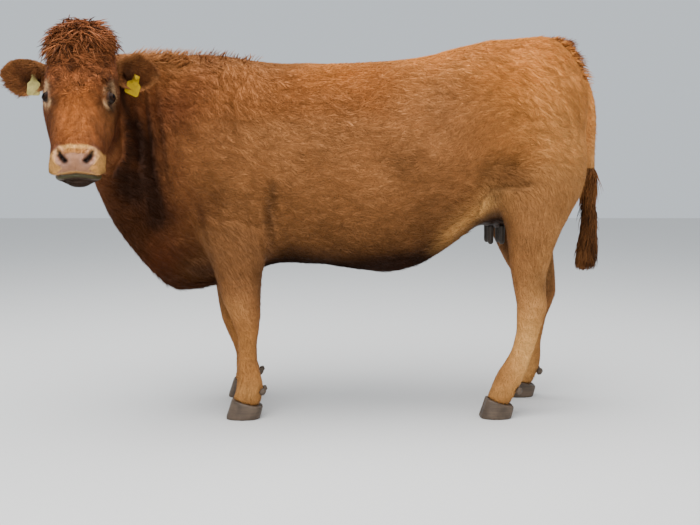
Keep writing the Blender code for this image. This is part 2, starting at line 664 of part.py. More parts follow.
def coronet_plane(x_front, x_back):
    """A point and the upward normal of the hoof's slanting upper edge."""
    slope = Vector((x_front - x_back, 0, CORONET_FRONT - CORONET_BACK))
    normal = Vector((0, 1, 0)).cross(slope).normalized()
    if normal.z < 0:
        normal = -normal
    return Vector((x_front, 0, CORONET_FRONT)), normal


def make_claws(name, table, side):
    """The two claws of a foot: horn with a flat sole, a straight inner wall and a curved outer one."""
    row = table[-2]
    x_front, x_back, middle, half_width = row[1], row[2], side * row[3], row[4]
    point, normal = coronet_plane(x_front, x_back)
    for inner, label in ((-side, "inner"), (side, "outer")):
        bm = bmesh.new()
        rings = []
        for level, lean, spread in CLAW_LEVELS:
            toe = x_front - CLAW_TOE * (1 - lean)
            heel = x_back + CLAW_BACK - CLAW_HEEL * (1 - lean) if level else x_back - CLAW_BULB
            ring = []
            for k in range(CLAW_SIDES):
                turn = math.pi * k / (CLAW_SIDES - 1)
                x = (toe + heel) / 2 - (heel - toe) / 2 * math.cos(turn)
                reach = half_width * spread - CLAW_SPLIT
                out = CLAW_SPLIT + reach * math.sin(turn) ** CLAW_ROUNDNESS
                ring.append((x, middle + inner * out))
            for share in INNER_WALL:
                ring.append((toe + (heel - toe) * share, middle + inner * CLAW_SPLIT))
            top = [point.z - ((x - point.x) * normal.x) / normal.z - GAP for x, y in ring]
            heights = [level * t if level > SOLE_EDGE else level for t in top]
            rings.append([Vector((x, y, z)) for (x, y), z in zip(ring, heights)])
        loft(bm, rings)
        add_object(f"claw_{name}_{label}", bm, "horn")


def make_dewclaws(name, table, side):
    """Two horn buttons behind the fetlock."""
    heights = [row[0] for row in table]
    k = min(range(len(table)), key=lambda i: abs(heights[i] - DEWCLAW_HEIGHT))
    x_back, middle, half_width = table[k][2], side * table[k][3], table[k][4]
    buttons = []
    for inner, label in ((-side, "inner"), (side, "outer")):
        bm = bmesh.new()
        off = inner * half_width * DEWCLAW_SPREAD
        place = Matrix.Translation((x_back - DEWCLAW_SINK, middle + off, DEWCLAW_HEIGHT))
        place = place @ Matrix.Rotation(DEWCLAW_TILT, 4, "Y") @ Matrix.Diagonal((*DEWCLAW_RADII, 1.0))
        bmesh.ops.create_icosphere(bm, subdivisions=1, radius=1.0, matrix=place)
        buttons.append(add_object(f"dewclaw_{name}_{label}", bm, "horn"))
    return buttons


def make_teats(udder):
    """Four teats, sunk into the udder."""
    for x, off, tip, label in TEATS:
        for side, hand in ((NEAR, "left"), (FAR, "right")):
            frame = Matrix.Translation((x, side * off, tip))
            seat(udder, add_lathe(f"teat_{label}_{hand}", "teat", TEAT, frame))


# ---------------------------------------------------------------- parting the flesh
def part_legs(trunk):
    """Cut the four legs from the trunk, and each at its knee or hock. Seat their horn."""
    legs = (("foreleg_left", FORELEG_NEAR, NEAR), ("foreleg_right", FORELEG_FAR, FAR),
            ("hindleg_left", HINDLEG_NEAR, NEAR), ("hindleg_right", HINDLEG_FAR, FAR))
    for name, table, side in legs:
        fore = name.startswith("fore")
        outline = [(side * y, z) for y, z in (FORE_CELL if fore else HIND_CELL)]
        leg = take_out(trunk, name, FORE_CELL_X if fore else HIND_CELL_X, outline)
        joint = KNEE_HEIGHTS[name.split("_")[1]] if fore else HOCK_HEIGHT
        lower, upper = split(leg, Vector((0, 0, joint)), Vector((0, 0, 1)), f"{name}_lower", f"{name}_upper")
        point, normal = coronet_plane(table[-2][1], table[-2][2])
        shank = half(lower, f"{name}_lower_cut", point, -normal)
        drop(lower)
        shank.name = f"{name}_lower"
        make_claws(name, table, side)
        seat(shank, *make_dewclaws(name, table, side))


def centre_all():
    """Shift everything so that the origin is at the middle of the bounding box, on the floor."""
    places = [v.co for thing in bpy.data.objects for v in thing.data.vertices]
    low = [min(p[k] for p in places) for k in range(3)]
    high = [max(p[k] for p in places) for k in range(3)]
    shift = Matrix.Translation((-(low[0] + high[0]) / 2, -(low[1] + high[1]) / 2, -low[2]))
    for thing in bpy.data.objects:
        thing.data.transform(shift)


def main():
    for thing in list(bpy.data.objects):
        bpy.data.objects.remove(thing)
    bm = bmesh.new()
    add_trunk(bm)
    add_neck(bm)
    add_head(bm)
    add_udder(bm)
    add_leg(bm, FORELEG_NEAR, NEAR)
    add_leg(bm, FORELEG_FAR, FAR)
    add_leg(bm, HINDLEG_NEAR, NEAR)
    add_leg(bm, HINDLEG_FAR, FAR)
    whole = fuse(bm)
    model_surface(whole)

    point, ahead = HEAD_CUT
    head_rough = half(whole, "head_rough", point - ahead * CUT_MARGIN, -ahead)
    body_rough = half(whole, "body_rough", point + ahead * CUT_MARGIN, ahead)
    thin_out(head_rough, HEAD_TRIANGLES)
    thin_out(body_rough, BODY_TRIANGLES)
    head = half(head_rough, "head", point + ahead * CUT, -ahead)
    body = half(body_rough, "body", point, ahead)
    drop(whole, head_rough, body_rough)
    trunk, neck = split(body, *NECK_CUT, "trunk", "neck")

    tail, switch = make_tail()
    seat(trunk, tail)
    for hand, side in (("left", 1), ("right", -1)):
        ear = make_ear(hand)
        seat(head, make_eye(f"eye_{hand}", side), ear)
        seat(neck, ear)
        seat(ear, *make_tag(hand))
    part_legs(trunk)
    udder = take_out(trunk, "udder", UDDER_CELL_X, UDDER_CELL)
    make_teats(udder)
    centre_all()


main()
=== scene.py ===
"""Skin, coat, eyes, horn, ear tags and stage for a standing red-brown beef cow.

The solids are the fixed frame. One skin lies inside the flesh solids by the depth of the coat, and locks of
hair, grown along the lie of the coat, reach back out to their surface.
"""
import math

import bmesh
import bpy
import numpy as np
from mathutils import Matrix, Vector, noise
from mathutils.bvhtree import BVHTree


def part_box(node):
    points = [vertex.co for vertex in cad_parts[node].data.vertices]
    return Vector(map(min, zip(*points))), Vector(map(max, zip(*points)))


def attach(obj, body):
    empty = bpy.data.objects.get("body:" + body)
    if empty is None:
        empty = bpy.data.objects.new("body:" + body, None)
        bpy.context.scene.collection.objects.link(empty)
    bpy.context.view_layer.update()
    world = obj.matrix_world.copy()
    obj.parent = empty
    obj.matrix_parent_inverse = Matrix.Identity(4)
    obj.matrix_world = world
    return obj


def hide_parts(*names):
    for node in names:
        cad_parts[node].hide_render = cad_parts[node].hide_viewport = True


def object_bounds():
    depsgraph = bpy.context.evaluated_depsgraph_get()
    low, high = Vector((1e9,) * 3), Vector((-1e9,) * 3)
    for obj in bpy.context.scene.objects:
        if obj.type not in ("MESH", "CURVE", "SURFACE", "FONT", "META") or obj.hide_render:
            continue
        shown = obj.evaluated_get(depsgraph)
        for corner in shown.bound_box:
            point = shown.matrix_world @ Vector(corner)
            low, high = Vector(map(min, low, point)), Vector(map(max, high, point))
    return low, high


bl_info = {
    "name": "Standing Cow",
    "version": (1, 0, 0),
    "blender": (4, 5, 0),
    "location": "View3D > Sidebar > Cow",
    "description": "Skin, coat, eyes, horn, ear tags and stage for a standing beef cow",
    "category": "Add Mesh",
}

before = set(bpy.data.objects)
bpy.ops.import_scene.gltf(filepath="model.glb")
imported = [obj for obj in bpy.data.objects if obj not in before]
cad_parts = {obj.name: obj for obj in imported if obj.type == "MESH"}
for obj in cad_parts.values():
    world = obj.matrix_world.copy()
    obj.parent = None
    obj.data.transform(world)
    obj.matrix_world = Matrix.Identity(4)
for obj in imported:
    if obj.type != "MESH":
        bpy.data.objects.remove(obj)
CAD_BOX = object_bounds()

# ---------------------------------------------------------------- places, taken from the frame
HANDS = ("left", "right")
SIDES = (1, -1)                 # the same two, as signs in the head's frame
TAIL_REAR = 0.985               # the tail's rear edge lies this far behind the body's reference point
TRUNK_LOW, TRUNK_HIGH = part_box("trunk")
REFERENCE = Vector((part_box("tail")[1].x - TAIL_REAR, (TRUNK_LOW.y + TRUNK_HIGH.y) / 2, 0.0))
EYE_RADIUS = (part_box("eye_left")[1].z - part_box("eye_left")[0].z) / 2
EYES = {hand: (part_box(f"eye_{hand}")[0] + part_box(f"eye_{hand}")[1]) / 2 for hand in HANDS}
HEAD_YAW = math.radians(11.7)
FACE_SLOPE = math.radians(39.8)
EYE_SETTING = Vector((0.004, 0.0, 0.002))    # from the head's origin to the middle between the eyes
VOXEL = 0.0112                  # the even mesh of the skin before it's refined
CLAW_VOXEL, SMALL_VOXEL, SWITCH_VOXEL = 0.0042, 0.0030, 0.008
FLESH_GROWTH = 0.0015           # closes the thin cuts between the flesh solids
HALF_WEIGHT = 0.5               # a usual step towards the neighbours' mean
LEGS = ("foreleg", "hindleg")
FLESH = ["trunk", "neck", "head", "tail", "udder"] + [
    f"{leg}_{hand}_{part}" for leg in LEGS for hand in HANDS for part in ("upper", "lower")]
TEATS = [f"teat_{row}_{hand}" for row in ("front", "rear") for hand in HANDS]
CLAWS = [f"{kind}_{leg}_{hand}_{place}" for kind in ("claw", "dewclaw") for leg in LEGS for hand in HANDS
         for place in ("inner", "outer")]
EAR_LENGTH = 0.220
EAR_STRETCH = 0.965             # keeps the ears' hair inside the solids
EAR_ROOTS = {   # root, tip and the way the cup opens, from the body's reference point
    "left": ((-0.836, -0.410, 1.298), (-0.704, -0.272, 1.320), (0.25, -0.80, -0.05)),
    "right": ((-1.030, -0.452, 1.286), (-1.252, -0.340, 1.289), (-0.45, -0.85, -0.05)),
}
EAR = [     # distance from the root, half width, depth of the cup, thickness, forward curl
    (-0.020, 0.034, 0.000, 0.046, 0.000),
    (0.020, 0.039, 0.004, 0.040, 0.000),
    (0.055, 0.051, 0.018, 0.023, 0.004),
    (0.095, 0.061, 0.028, 0.012, 0.006),
    (0.135, 0.063, 0.026, 0.009, 0.006),
    (0.175, 0.052, 0.018, 0.008, 0.005),
    (0.205, 0.031, 0.008, 0.007, 0.004),
    (0.217, 0.010, 0.001, 0.005, 0.004),
]

# Paths seen from the side, as x aft and z up from the body's reference point
CHEEK = [(-0.822, 1.270), (-0.812, 1.180), (-0.814, 1.100), (-0.832, 1.010), (-0.888, 0.935)]
STIFLE = [(0.50, 0.800), (0.515, 0.850), (0.537, 0.888), (0.600, 0.898), (0.662, 0.905)]
JAW_SHADOW = [(-0.812, 1.120), (-0.785, 1.040), (-0.765, 0.950), (-0.757, 0.860), (-0.745, 0.770)]
ELBOW = [(-0.29, 0.90), (-0.308, 0.80), (-0.310, 0.62)]
ARM_FRONT = [(-0.575, 0.83), (-0.548, 0.76), (-0.525, 0.65), (-0.509, 0.545)]
REAR_EDGE = [(0.96, 1.00), (0.90, 0.80), (0.80, 0.62), (0.77, 0.50)]
FLANK = [(0.525, 0.835), (0.490, 0.808), (0.417, 0.752), (0.345, 0.695), (0.305, 0.662)]
CREASE_SHADES = ((ELBOW, 0.022, 0.55), (ARM_FRONT, 0.016, 0.55), (STIFLE, 0.022, 0.72))   # painted shade along creases: width, darkness
SHADES = (      # soft dark places on the flanks: x, z and half sizes, darkness
    ((0.30, 0.86, 0.16, 0.12), 0.22), ((0.185, 0.985, 0.085, 0.085), 0.34),
    ((-0.190, 0.900, 0.125, 0.095), 0.50), ((0.420, 1.070, 0.080, 0.090), 0.26),
    ((0.555, 1.150, 0.095, 0.110), 0.26))
SWIRLS = [      # where the coat turns: x and z of the middle, size, strength
    (-0.42, 1.27, 0.11, -0.9), (0.44, 1.08, 0.13, 1.0), (0.10, 1.30, 0.16, 0.5), (0.62, 0.96, 0.12, 0.8),
    (-0.52, 0.95, 0.12, 0.6)]

# The eyes, in the head's frame
EYE_SIDE = (EYES["left"] - EYES["right"]).length / 2
EYE_LOOK = (0.10, 0.72, 0.70)   # the way the left eye looks
SLIT_HALF = 0.0185              # half the length of the opening between the lids
SLIT_RISE = 0.0150              # and half its height

# On the muzzle, places are told by how far they lie sideways and how far up, seen square to the nose pad
MUZZLE_UP = np.array([-0.72, 0.0, 0.69])
MUZZLE_OUT = np.array([0.69, 0.0, 0.72])
NOSTRIL = [(0.051, -0.172), (0.048, -0.181), (0.041, -0.190), (0.033, -0.198)]
MOUTH = [(0.0, -0.2390), (0.020, -0.2405), (0.045, -0.2445), (0.068, -0.2500), (0.086, -0.2470)]
PAD_TOP = -0.171
RING_TOP = -0.146

# Colours that aren't settings
THIGH = (0.31, 0.130, 0.038)
EYE_RIM = (0.86, 0.54, 0.27)
LID_EDGE = (0.020, 0.013, 0.010)
NOSTRIL_RIM = (0.50, 0.27, 0.19)
# painted shade deep in the nostrils and in the groove of the mouth
NOSTRIL_SHADE = (0.014, 0.007, 0.006)
MOUTH_SHADE = (0.018, 0.012, 0.008)
PUPIL = (0.0015, 0.0015, 0.002, 1)
IRIS, IRIS_RIM, SCLERA = (0.020, 0.009, 0.005), (0.008, 0.004, 0.003), (0.030, 0.020, 0.015)
SKY = (0.86, 0.93, 1.0, 1.0)

# The stage
FLOOR_HALF = 14.0
SENSOR_WIDTH = 36.0
LIT_PLACE = (0.0, 0.0, 0.9)     # the lamps point here
LAMPS = {"overhead": ((-0.3, -0.8, 4.4), 5.0), "front": ((-1.2, -4.5, 2.6), 3.0)}    # place and size


def head_matrix():
    """The head's frame: X nosewards along the face, Y to the cow's left, Z out of the forehead."""
    lean, yaw = FACE_SLOPE, HEAD_YAW
    nose = Vector((math.sin(lean) * math.sin(yaw), -math.sin(lean) * math.cos(yaw), -math.cos(lean)))
    left = Vector((math.cos(yaw), math.sin(yaw), 0.0))
    turn = Matrix((nose, left, nose.cross(left))).transposed().to_4x4()
    middle = (EYES["left"] + EYES["right"]) / 2
    return Matrix.Translation(middle) @ turn @ Matrix.Translation(-EYE_SETTING)


HEAD = head_matrix()
HEAD_TURN = np.array(HEAD.to_3x3())


def to_body(places):
    """World places as x aft, y to the right and z up from the body's reference point."""
    return places - np.array(REFERENCE)


def to_head(places):
    """World places in the head's frame."""
    return (places - np.array(HEAD.translation)) @ HEAD_TURN


# ---------------------------------------------------------------- settings
def length_property(name, description, default):
    return bpy.props.FloatProperty(name=name, description=description, default=default, unit="LENGTH")


def count_property(name, description, default):
    return bpy.props.IntProperty(name=name, description=description, default=default)


def colour_property(name, description, default):
    return bpy.props.FloatVectorProperty(name=name, description=description, default=default,
                                         subtype="COLOR", min=0.0, max=1.0)


class CoatSettings(bpy.types.PropertyGroup):
    """Size of the hair in each part of the coat."""
    body_length: length_property("Body hair", "Length of a lock on the body", 0.027)
    body_width: length_property("Body lock width", "Width of a lock on the body", 0.0035)
    body_depth: length_property("Coat depth", "Depth of the coat on the body", 0.007)
    body_count: count_property("Body locks", "Locks on trunk and neck", 162000)
    leg_count: count_property("Leg locks", "Locks on the legs and tail", 38000)
    head_count: count_property("Head locks", "Locks on the head", 48000)
    curl_count: count_property("Curls", "Curls on the forehead", 7700)
    forelock_count: count_property("Forelock", "Locks of the forelock", 3600)
    curl_length: length_property("Curl length", "Length of a curl", 0.050)
    crest_count: count_property("Crest locks", "Upright locks on crest and tail head", 1800)
    ear_count: count_property("Ear locks", "Locks on both ears", 9000)
    switch_count: count_property("Switch locks", "Locks of the tail's switch", 2800)
    switch_length: length_property("Switch hair", "Length of the tail's long hair", 0.130)


class ColourSettings(bpy.types.PropertyGroup):
    """Colours of coat, skin, horn, eyes and tags."""
    side: colour_property("Side", "Red-brown of shoulder and ribs", (0.43, 0.174, 0.056))
    back: colour_property("Back", "Golden brown of the back and rump", (0.76, 0.275, 0.055))
    # Dark is also laid as painted shade: on the lower neck, the brisket, under the head, on the legs' inner
    # sides and over the ears' inner faces
    dark: colour_property("Dark", "Dark brown of neck, brisket and belly", (0.060, 0.020, 0.006))
    # Deep is also laid as painted shade and shadow: on the belly, under the jaw, in the crease behind the
    # cheek, round the udder and deep in the ears' cups
    deep: colour_property("Deep", "Darkest hair, in the ears and on the switch", (0.034, 0.012, 0.005))
    red: colour_property("Red", "Darker red of cheeks and crown", (0.175, 0.050, 0.018))
    bridge: colour_property("Bridge", "Bright tan of the nose bridge", (0.42, 0.125, 0.026))
    pale: colour_property("Pale", "Cream of muzzle ring and eye patches", (0.98, 0.51, 0.155))
    sandy: colour_property("Sandy", "Sandy pink of the lower legs", (0.38, 0.155, 0.040))
    nose: colour_property("Nose pad", "Pinkish beige of the bare nose", (0.35, 0.160, 0.082))
    lip: colour_property("Lip", "Grey-green of the lower lip", (0.060, 0.052, 0.018))
    bare: colour_property("Udder", "Dark skin of udder and teats", (0.028, 0.020, 0.014))
    gold: colour_property("Gold", "Pale gold of the buttock, the flank fold and the backs of the legs",
                          (0.76, 0.365, 0.115))
    horn: colour_property("Horn", "Dull brown-grey of the claws", (0.095, 0.064, 0.042))
    yellow: colour_property("Yellow tag", "Plastic of the left ear's tag", (0.36, 0.225, 0.0015))
    cream: colour_property("Cream tag", "Plastic of the right ear's tag", (0.46, 0.38, 0.125))
    floor: colour_property("Floor", "Pale floor", (0.74, 0.73, 0.71))


class StageSettings(bpy.types.PropertyGroup):
    """Camera and light."""
    lens: bpy.props.FloatProperty(name="Lens", description="Focal length", default=46.03, unit="CAMERA")
    distance: length_property("Distance", "From the camera to the cow's middle plane", 3.6)
    height: length_property("Height", "Camera above the floor", 0.970)
    pitch: bpy.props.FloatProperty(name="Pitch", description="How far the camera looks down",
                                   default=math.radians(6.03), subtype="ANGLE")
    sky: bpy.props.FloatProperty(name="Sky", description="Strength of the even sky light", default=0.80)
    overhead: bpy.props.FloatProperty(name="Overhead", description="Power of the soft light above",
                                      default=420.0)
    front: bpy.props.FloatProperty(name="Front", description="Power of the soft light at the front",
                                   default=60.0)


# ---------------------------------------------------------------- mesh helpers
def new_object(name, data):
    thing = bpy.data.objects.new(name, data)
    bpy.context.scene.collection.objects.link(thing)
    return thing


def loaded(mesh):
    """A bmesh of a mesh."""
    bm = bmesh.new()
    bm.from_mesh(mesh)
    return bm


def unload(bm, mesh):
    """Put a bmesh into a mesh."""
    bm.to_mesh(mesh)
    bm.free()
    return mesh


def finish_bmesh(name, bm):
    """A smooth object from a bmesh, with its faces turned outwards."""
    bmesh.ops.recalc_face_normals(bm, faces=bm.faces[:])
    mesh = unload(bm, bpy.data.meshes.new(name))
    mesh.shade_smooth()
    return new_object(name, mesh)


def merged_copy(node):
    """A bmesh of a CAD node with its loose triangles merged."""
    bm = loaded(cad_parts[node].data)
    bmesh.ops.remove_doubles(bm, verts=bm.verts[:], dist=1e-5)
    return bm


def baked(thing):
    """Turn an object's modifiers into its mesh."""
    graph = bpy.context.evaluated_depsgraph_get()
    mesh = bpy.data.meshes.new_from_object(thing.evaluated_get(graph), preserve_all_data_layers=True,
                                           depsgraph=graph)
    thing.modifiers.clear()
    thing.data = mesh
    return thing


def fused(thing, size):
    """Remesh an object into one even skin."""
    remesh = thing.modifiers.new("fuse", "REMESH")
    remesh.mode = "VOXEL"
    remesh.voxel_size = size
    return baked(thing)


def gather(items, field, width=1, kind=np.float32):
    """One field of many items as an array."""
    values = np.empty(len(items) * width, dtype=kind)
    items.foreach_get(field, values)
    values = values if kind is np.int32 else values.astype(float)
    return values if width == 1 else values.reshape(-1, width)


def positions(mesh):
    return gather(mesh.vertices, "co", 3)


def vertex_normals(mesh):
    return gather(mesh.vertex_normals, "vector", 3)


def edge_ends(mesh):
    return gather(mesh.edges, "vertices", 2, np.int32)


def attribute(mesh, name, width=1):
    return gather(mesh.attributes[name].data, "value" if width == 1 else "vector", width)


def store(mesh, name, values, kind="FLOAT"):
    """Keep values on the mesh's vertices."""
    layer = mesh.attributes.get(name) or mesh.attributes.new(name, kind, "POINT")
    field = {"FLOAT": "value", "FLOAT_VECTOR": "vector", "FLOAT_COLOR": "color"}[kind]
    layer.data.foreach_set(field, np.ascontiguousarray(values, dtype=np.float32).ravel())


def set_hair(mesh, lie=None, **sizes):
    """Keep the hair's length, width, lift or density on a mesh, and its lie."""
    for name, values in sizes.items():
        store(mesh, f"hair_{name}", np.broadcast_to(values, len(mesh.vertices)))
    if lie is not None:
        store(mesh, "lie", lie, "FLOAT_VECTOR")


def store_colour(mesh, colour):
    store(mesh, "markings", np.hstack([colour, np.ones((len(colour), 1))]), "FLOAT_COLOR")


def place_vertices(mesh, places):
    mesh.vertices.foreach_set("co", places.astype(np.float32).ravel())
    mesh.update()


def face_values(mesh, name):
    """A vertex attribute averaged over each face."""
    corners = gather(mesh.loops, "vertex_index", kind=np.int32)
    starts = gather(mesh.polygons, "loop_start", kind=np.int32)
    totals = np.add.reduceat(attribute(mesh, name)[corners], starts)
    return totals / np.diff(np.append(starts, len(corners)))


def averaged(values, ends, counts):
    """The mean of each vertex's neighbours."""
    result = np.empty_like(values)
    for k in range(values.shape[1]):
        result[:, k] = np.bincount(ends[:, 0], values[ends[:, 1], k], len(values))
        result[:, k] += np.bincount(ends[:, 1], values[ends[:, 0], k], len(values))
    return result / counts[:, None]


def smoothed(values, ends, rounds, weight=HALF_WEIGHT):
    """Values spread over the mesh's edges. The weight may differ between vertices."""
    if values.ndim == 1:
        return smoothed(values[:, None], ends, rounds, weight)[:, 0]
    counts = np.maximum(np.bincount(ends.ravel(), minlength=len(values)), 1)
    weight = np.broadcast_to(weight, len(values))[:, None]
    for _ in range(rounds):
        values = values + weight * (averaged(values, ends, counts) - values)
    return values


# ---------------------------------------------------------------- curves and fields
def in_between(rows, steps):
    """Rows of numbers with smooth rows between them, on Catmull-Rom curves."""
    knots = np.array(rows, dtype=float)
    padded = np.vstack([2 * knots[0] - knots[1], knots, 2 * knots[-1] - knots[-2]])
    result = []
    for i in range(1, len(knots)):
        before, here, there, after = padded[i - 1:i + 3]
        for t in (step / steps for step in range(steps)):
            result.append(0.5 * (2 * here + (there - before) * t
                                 + (2 * before - 5 * here + 4 * there - after) * t ** 2
                                 + (3 * here - before - 3 * there + after) * t ** 3))
    return result + [knots[-1]]


def clip(values, high=1.0):
    return np.clip(values, 0.0, high)


def ramp(values, low, high):
    """0 below low, 1 above high, with a soft passage."""
    t = clip((values - low) / (high - low))
    return t * t * (3 - 2 * t)


def drop(values, low, high):
    """1 below low, 0 above high, with a soft passage."""
    return 1 - ramp(values, low, high)


def bell(values, width, centre=0.0):
    """1 at the centre, fading out over the width to both sides."""
    return np.exp(-((values - centre) / width) ** 2)


def blob(places, centre, spreads):
    """1 at the centre, fading out over the spreads."""
    return np.exp(-np.sum(((places - np.array(centre)) / np.array(spreads)) ** 2, axis=1))


def lerp(a, b, weight):
    """From rows a to rows b, or to the one row b, by each row's weight."""
    return a + (np.array(b) - a) * weight[:, None]


def blend(a, b, weight):
    """From a to b by each place's weight."""
    return a * (1 - weight) + b * weight


def cloud(places, scale, seed=0.0):
    """Smooth noise about -1 to 1, at each place."""
    return np.array([noise.noise(p) for p in (places * scale + seed).tolist()]) * 1.6


def unit(ways):
    return ways / np.linalg.norm(ways, axis=1)[:, None]


def laid(way, normals, turn=None):
    """Directions turned about the surface's normals and laid flat on it."""
    flat = way - normals * np.sum(way * normals, axis=1)[:, None]
    flat /= np.linalg.norm(flat, axis=1)[:, None] + 1e-9
    if turn is None:
        return flat
    return flat * np.cos(turn)[:, None] + np.cross(normals, flat) * np.sin(turn)[:, None]


def path_distance(places, path):
    """Distance to a broken line, and how far along it the nearest point lies, from 0 to 1."""
    path = np.array(path)
    best, where = np.full(len(places), 1e9), np.zeros(len(places))
    for i in range(len(path) - 1):
        leg = path[i + 1] - path[i]
        t = np.clip((places - path[i]) @ leg / leg.dot(leg), 0, 1)
        distance = np.linalg.norm(places - path[i] - t[:, None] * leg, axis=1)
        nearer = distance < best
        best = np.where(nearer, distance, best)
        where = np.where(nearer, (i + t) / (len(path) - 1), where)
    return best, where


def beside(body, path):
    """Distance to a path, seen from the side."""
    return path_distance(body[:, [0, 2]], path)[0]


# ---------------------------------------------------------------- shading
class Nodes:
    """A short way to add, set and link nodes in a tree."""

    def feed(self, node, key, value):
        """Set or link one input, called by its name or, as in i0, by its number."""
        numbered = key[0] == "i" and key[1:].isdigit()
        socket = node.inputs[int(key[1:])] if numbered else node.inputs[key.replace("_", " ")]
        if isinstance(value, bpy.types.NodeSocket):
            self.tree.links.new(value, socket)
        else:
            socket.default_value = value

    def add(self, kind, settings=(), **inputs):
        node = self.tree.nodes.new(kind)
        for key, value in dict(settings).items():
            setattr(node, key, value)
        for key, value in inputs.items():
            self.feed(node, key, value)
        return node

    def math(self, operation, a, b=0.5):
        return self.add("ShaderNodeMath", {"operation": operation}, i0=a, i1=b).outputs[0]


class Shade(Nodes):
    """A short way to build a node material."""

    def __init__(self, name, roughness=0.6, **sockets):
        self.material = bpy.data.materials.new(name)
        self.material.use_nodes = True
        self.tree = self.material.node_tree
        self.shader = self.tree.nodes["Principled BSDF"]
        self.link(Roughness=roughness, **sockets)

    def mapped(self, vector, scale=(1, 1, 1), turn=(0, 0, 0)):
        return self.add("ShaderNodeMapping", Vector=vector, Scale=scale, Rotation=turn).outputs["Vector"]

    def object_place(self, scale=(1, 1, 1), turn=(0, 0, 0)):
        return self.mapped(self.add("ShaderNodeTexCoord").outputs["Object"], scale, turn)

    def noise(self, vector, scale, detail=2.0, roughness=0.5):
        return self.add("ShaderNodeTexNoise", Vector=vector, Scale=scale, Detail=detail,
                        Roughness=roughness).outputs["Fac"]

    def ramp(self, fac, *stops):
        node = self.add("ShaderNodeValToRGB", Fac=fac)
        elements = node.color_ramp.elements
        while len(elements) < len(stops):
            elements.new(0.5)
        for element, (place, value) in zip(elements, stops):
            element.position = place
            element.color = (*value, 1.0) if isinstance(value, tuple) else (value, value, value, 1.0)
        return node.outputs["Color"]

    def mix(self, fac, a, b, blend="MIX"):
        node = self.add("ShaderNodeMix", {"data_type": "RGBA", "blend_type": blend}, i0=fac, i6=a, i7=b)
        return node.outputs[2]

    def times(self, a, b):
        return self.mix(1.0, a, b, "MULTIPLY")

    def attribute(self, name, output="Color"):
        return self.add("ShaderNodeAttribute", {"attribute_name": name}).outputs[output]

    def bump(self, height, strength, distance):
        return self.add("ShaderNodeBump", Height=height, Strength=strength,
                        Distance=distance).outputs["Normal"]

    def link(self, **sockets):
        for key, value in sockets.items():
            self.feed(self.shader, key, value)
        return self.material


def skin_material():
    """Short flat hair in the markings' colours, with bare places where the mesh says so."""
    s = Shade("short hair and skin", 0.62, Specular_IOR_Level=0.16)
    lean = (0, 0.35, 0)
    streaks = s.noise(s.object_place((40, 150, 110), lean), 1.0, 5.0, 0.6)
    clumps = s.noise(s.object_place((16, 40, 34), lean), 1.0)
    tone = s.ramp(s.math("ADD", s.math("MULTIPLY", streaks, 0.6), s.math("MULTIPLY", clumps, 0.4)),
                  (0.30, 0.62), (0.5, 0.90), (0.70, 1.15))
    bare = s.attribute("bare", "Fac")
    hair = s.times(s.attribute("markings"), tone)
    blotches = s.ramp(s.noise(s.object_place(), 60.0, 4.0, 0.6), (0.35, 0.80), (0.65, 1.12))
    skin = s.times(s.attribute("markings"), blotches)
    cells = s.add("ShaderNodeTexVoronoi", {"feature": "DISTANCE_TO_EDGE"}, Vector=s.object_place(),
                  Scale=230.0).outputs["Distance"]
    fine = s.bump(streaks, 0.7, 0.004)
    grain = s.bump(s.ramp(cells, (0.0, 0.0), (0.18, 1.0)), 0.5, 0.0012)
    normal = s.add("ShaderNodeMix", {"data_type": "VECTOR"}, i0=bare, i4=fine, i5=grain).outputs[1]
    rough = s.ramp(bare, (0.0, 0.72), (1.0, 0.36))
    return s.link(Base_Color=s.mix(bare, hair, skin), Normal=normal, Roughness=rough)


def hair_material(name, depth, roughness=0.5, root=0.72):
    """Hair coloured by the markings at its root, darker at the root with painted shade down in the coat, and
    lighter at the tip.
    """
    s = Shade(name, roughness, Specular_IOR_Level=0.06)
    # painted shade towards the root of each lock
    along = s.ramp(s.attribute("along", "Fac"), (0.0, root), (0.4, 0.96), (1.0, 1.10))
    lock = s.ramp(s.attribute("shade", "Fac"), (0.0, 1.0 - depth), (0.5, 1.0), (1.0, 1.0 + depth))
    lit = s.times(s.times(s.attribute("markings"), along), lock)
    own = s.add("ShaderNodeUVMap", {"uv_map": "Lock"}).outputs["UV"]
    hairs = s.noise(s.mapped(own, (9, 1.2, 1)), 1.0, 3.0, 0.6)
    fibres = s.ramp(hairs, (0.30, 0.72), (0.70, 1.22))
    return s.link(Base_Color=s.times(lit, fibres), Normal=s.bump(hairs, 0.5, 0.0008))


# ---------------------------------------------------------------- the skin's shape
def fused_flesh():
    """The flesh solids, grown over their thin cuts and fused into one even mesh."""
    bm = bmesh.new()
    for node in FLESH:
        part = merged_copy(node)
        part.normal_update()
        for vertex, normal in [(v, v.normal.copy()) for v in part.verts]:
            vertex.co += normal * FLESH_GROWTH
        mesh = unload(part, bpy.data.meshes.new("part"))
        bm.from_mesh(mesh)
        bpy.data.meshes.remove(mesh)
    for centre in EYES.values():
        bmesh.ops.create_icosphere(bm, subdivisions=3, radius=EYE_RADIUS * 1.02,
                                   matrix=Matrix.Translation(centre))
    for root, tip, _ in EAR_ROOTS.values():
        place = REFERENCE + Vector(root) + (Vector(root) - Vector(tip)).normalized() * 0.004
        bmesh.ops.create_icosphere(bm, subdivisions=3, radius=0.036, matrix=Matrix.Translation(place))
    return fused(finish_bmesh("skin", bm), VOXEL)


def refine(mesh, near, reach):
    """Halve the faces within reach of any of some places."""
    bm = loaded(mesh)
    places = np.array([v.co for v in bm.verts])
    close = np.zeros(len(places), dtype=bool)
    for place, radius in zip(near, reach):
        close |= np.linalg.norm(places - np.array(place), axis=1) < radius
    bm.verts.ensure_lookup_table()
    edges = [e for e in bm.edges if close[e.verts[0].index] and close[e.verts[1].index]]
    bmesh.ops.subdivide_edges(bm, edges=edges, cuts=1, use_grid_fill=True, smooth=0.0)
    unload(bm, mesh).update()


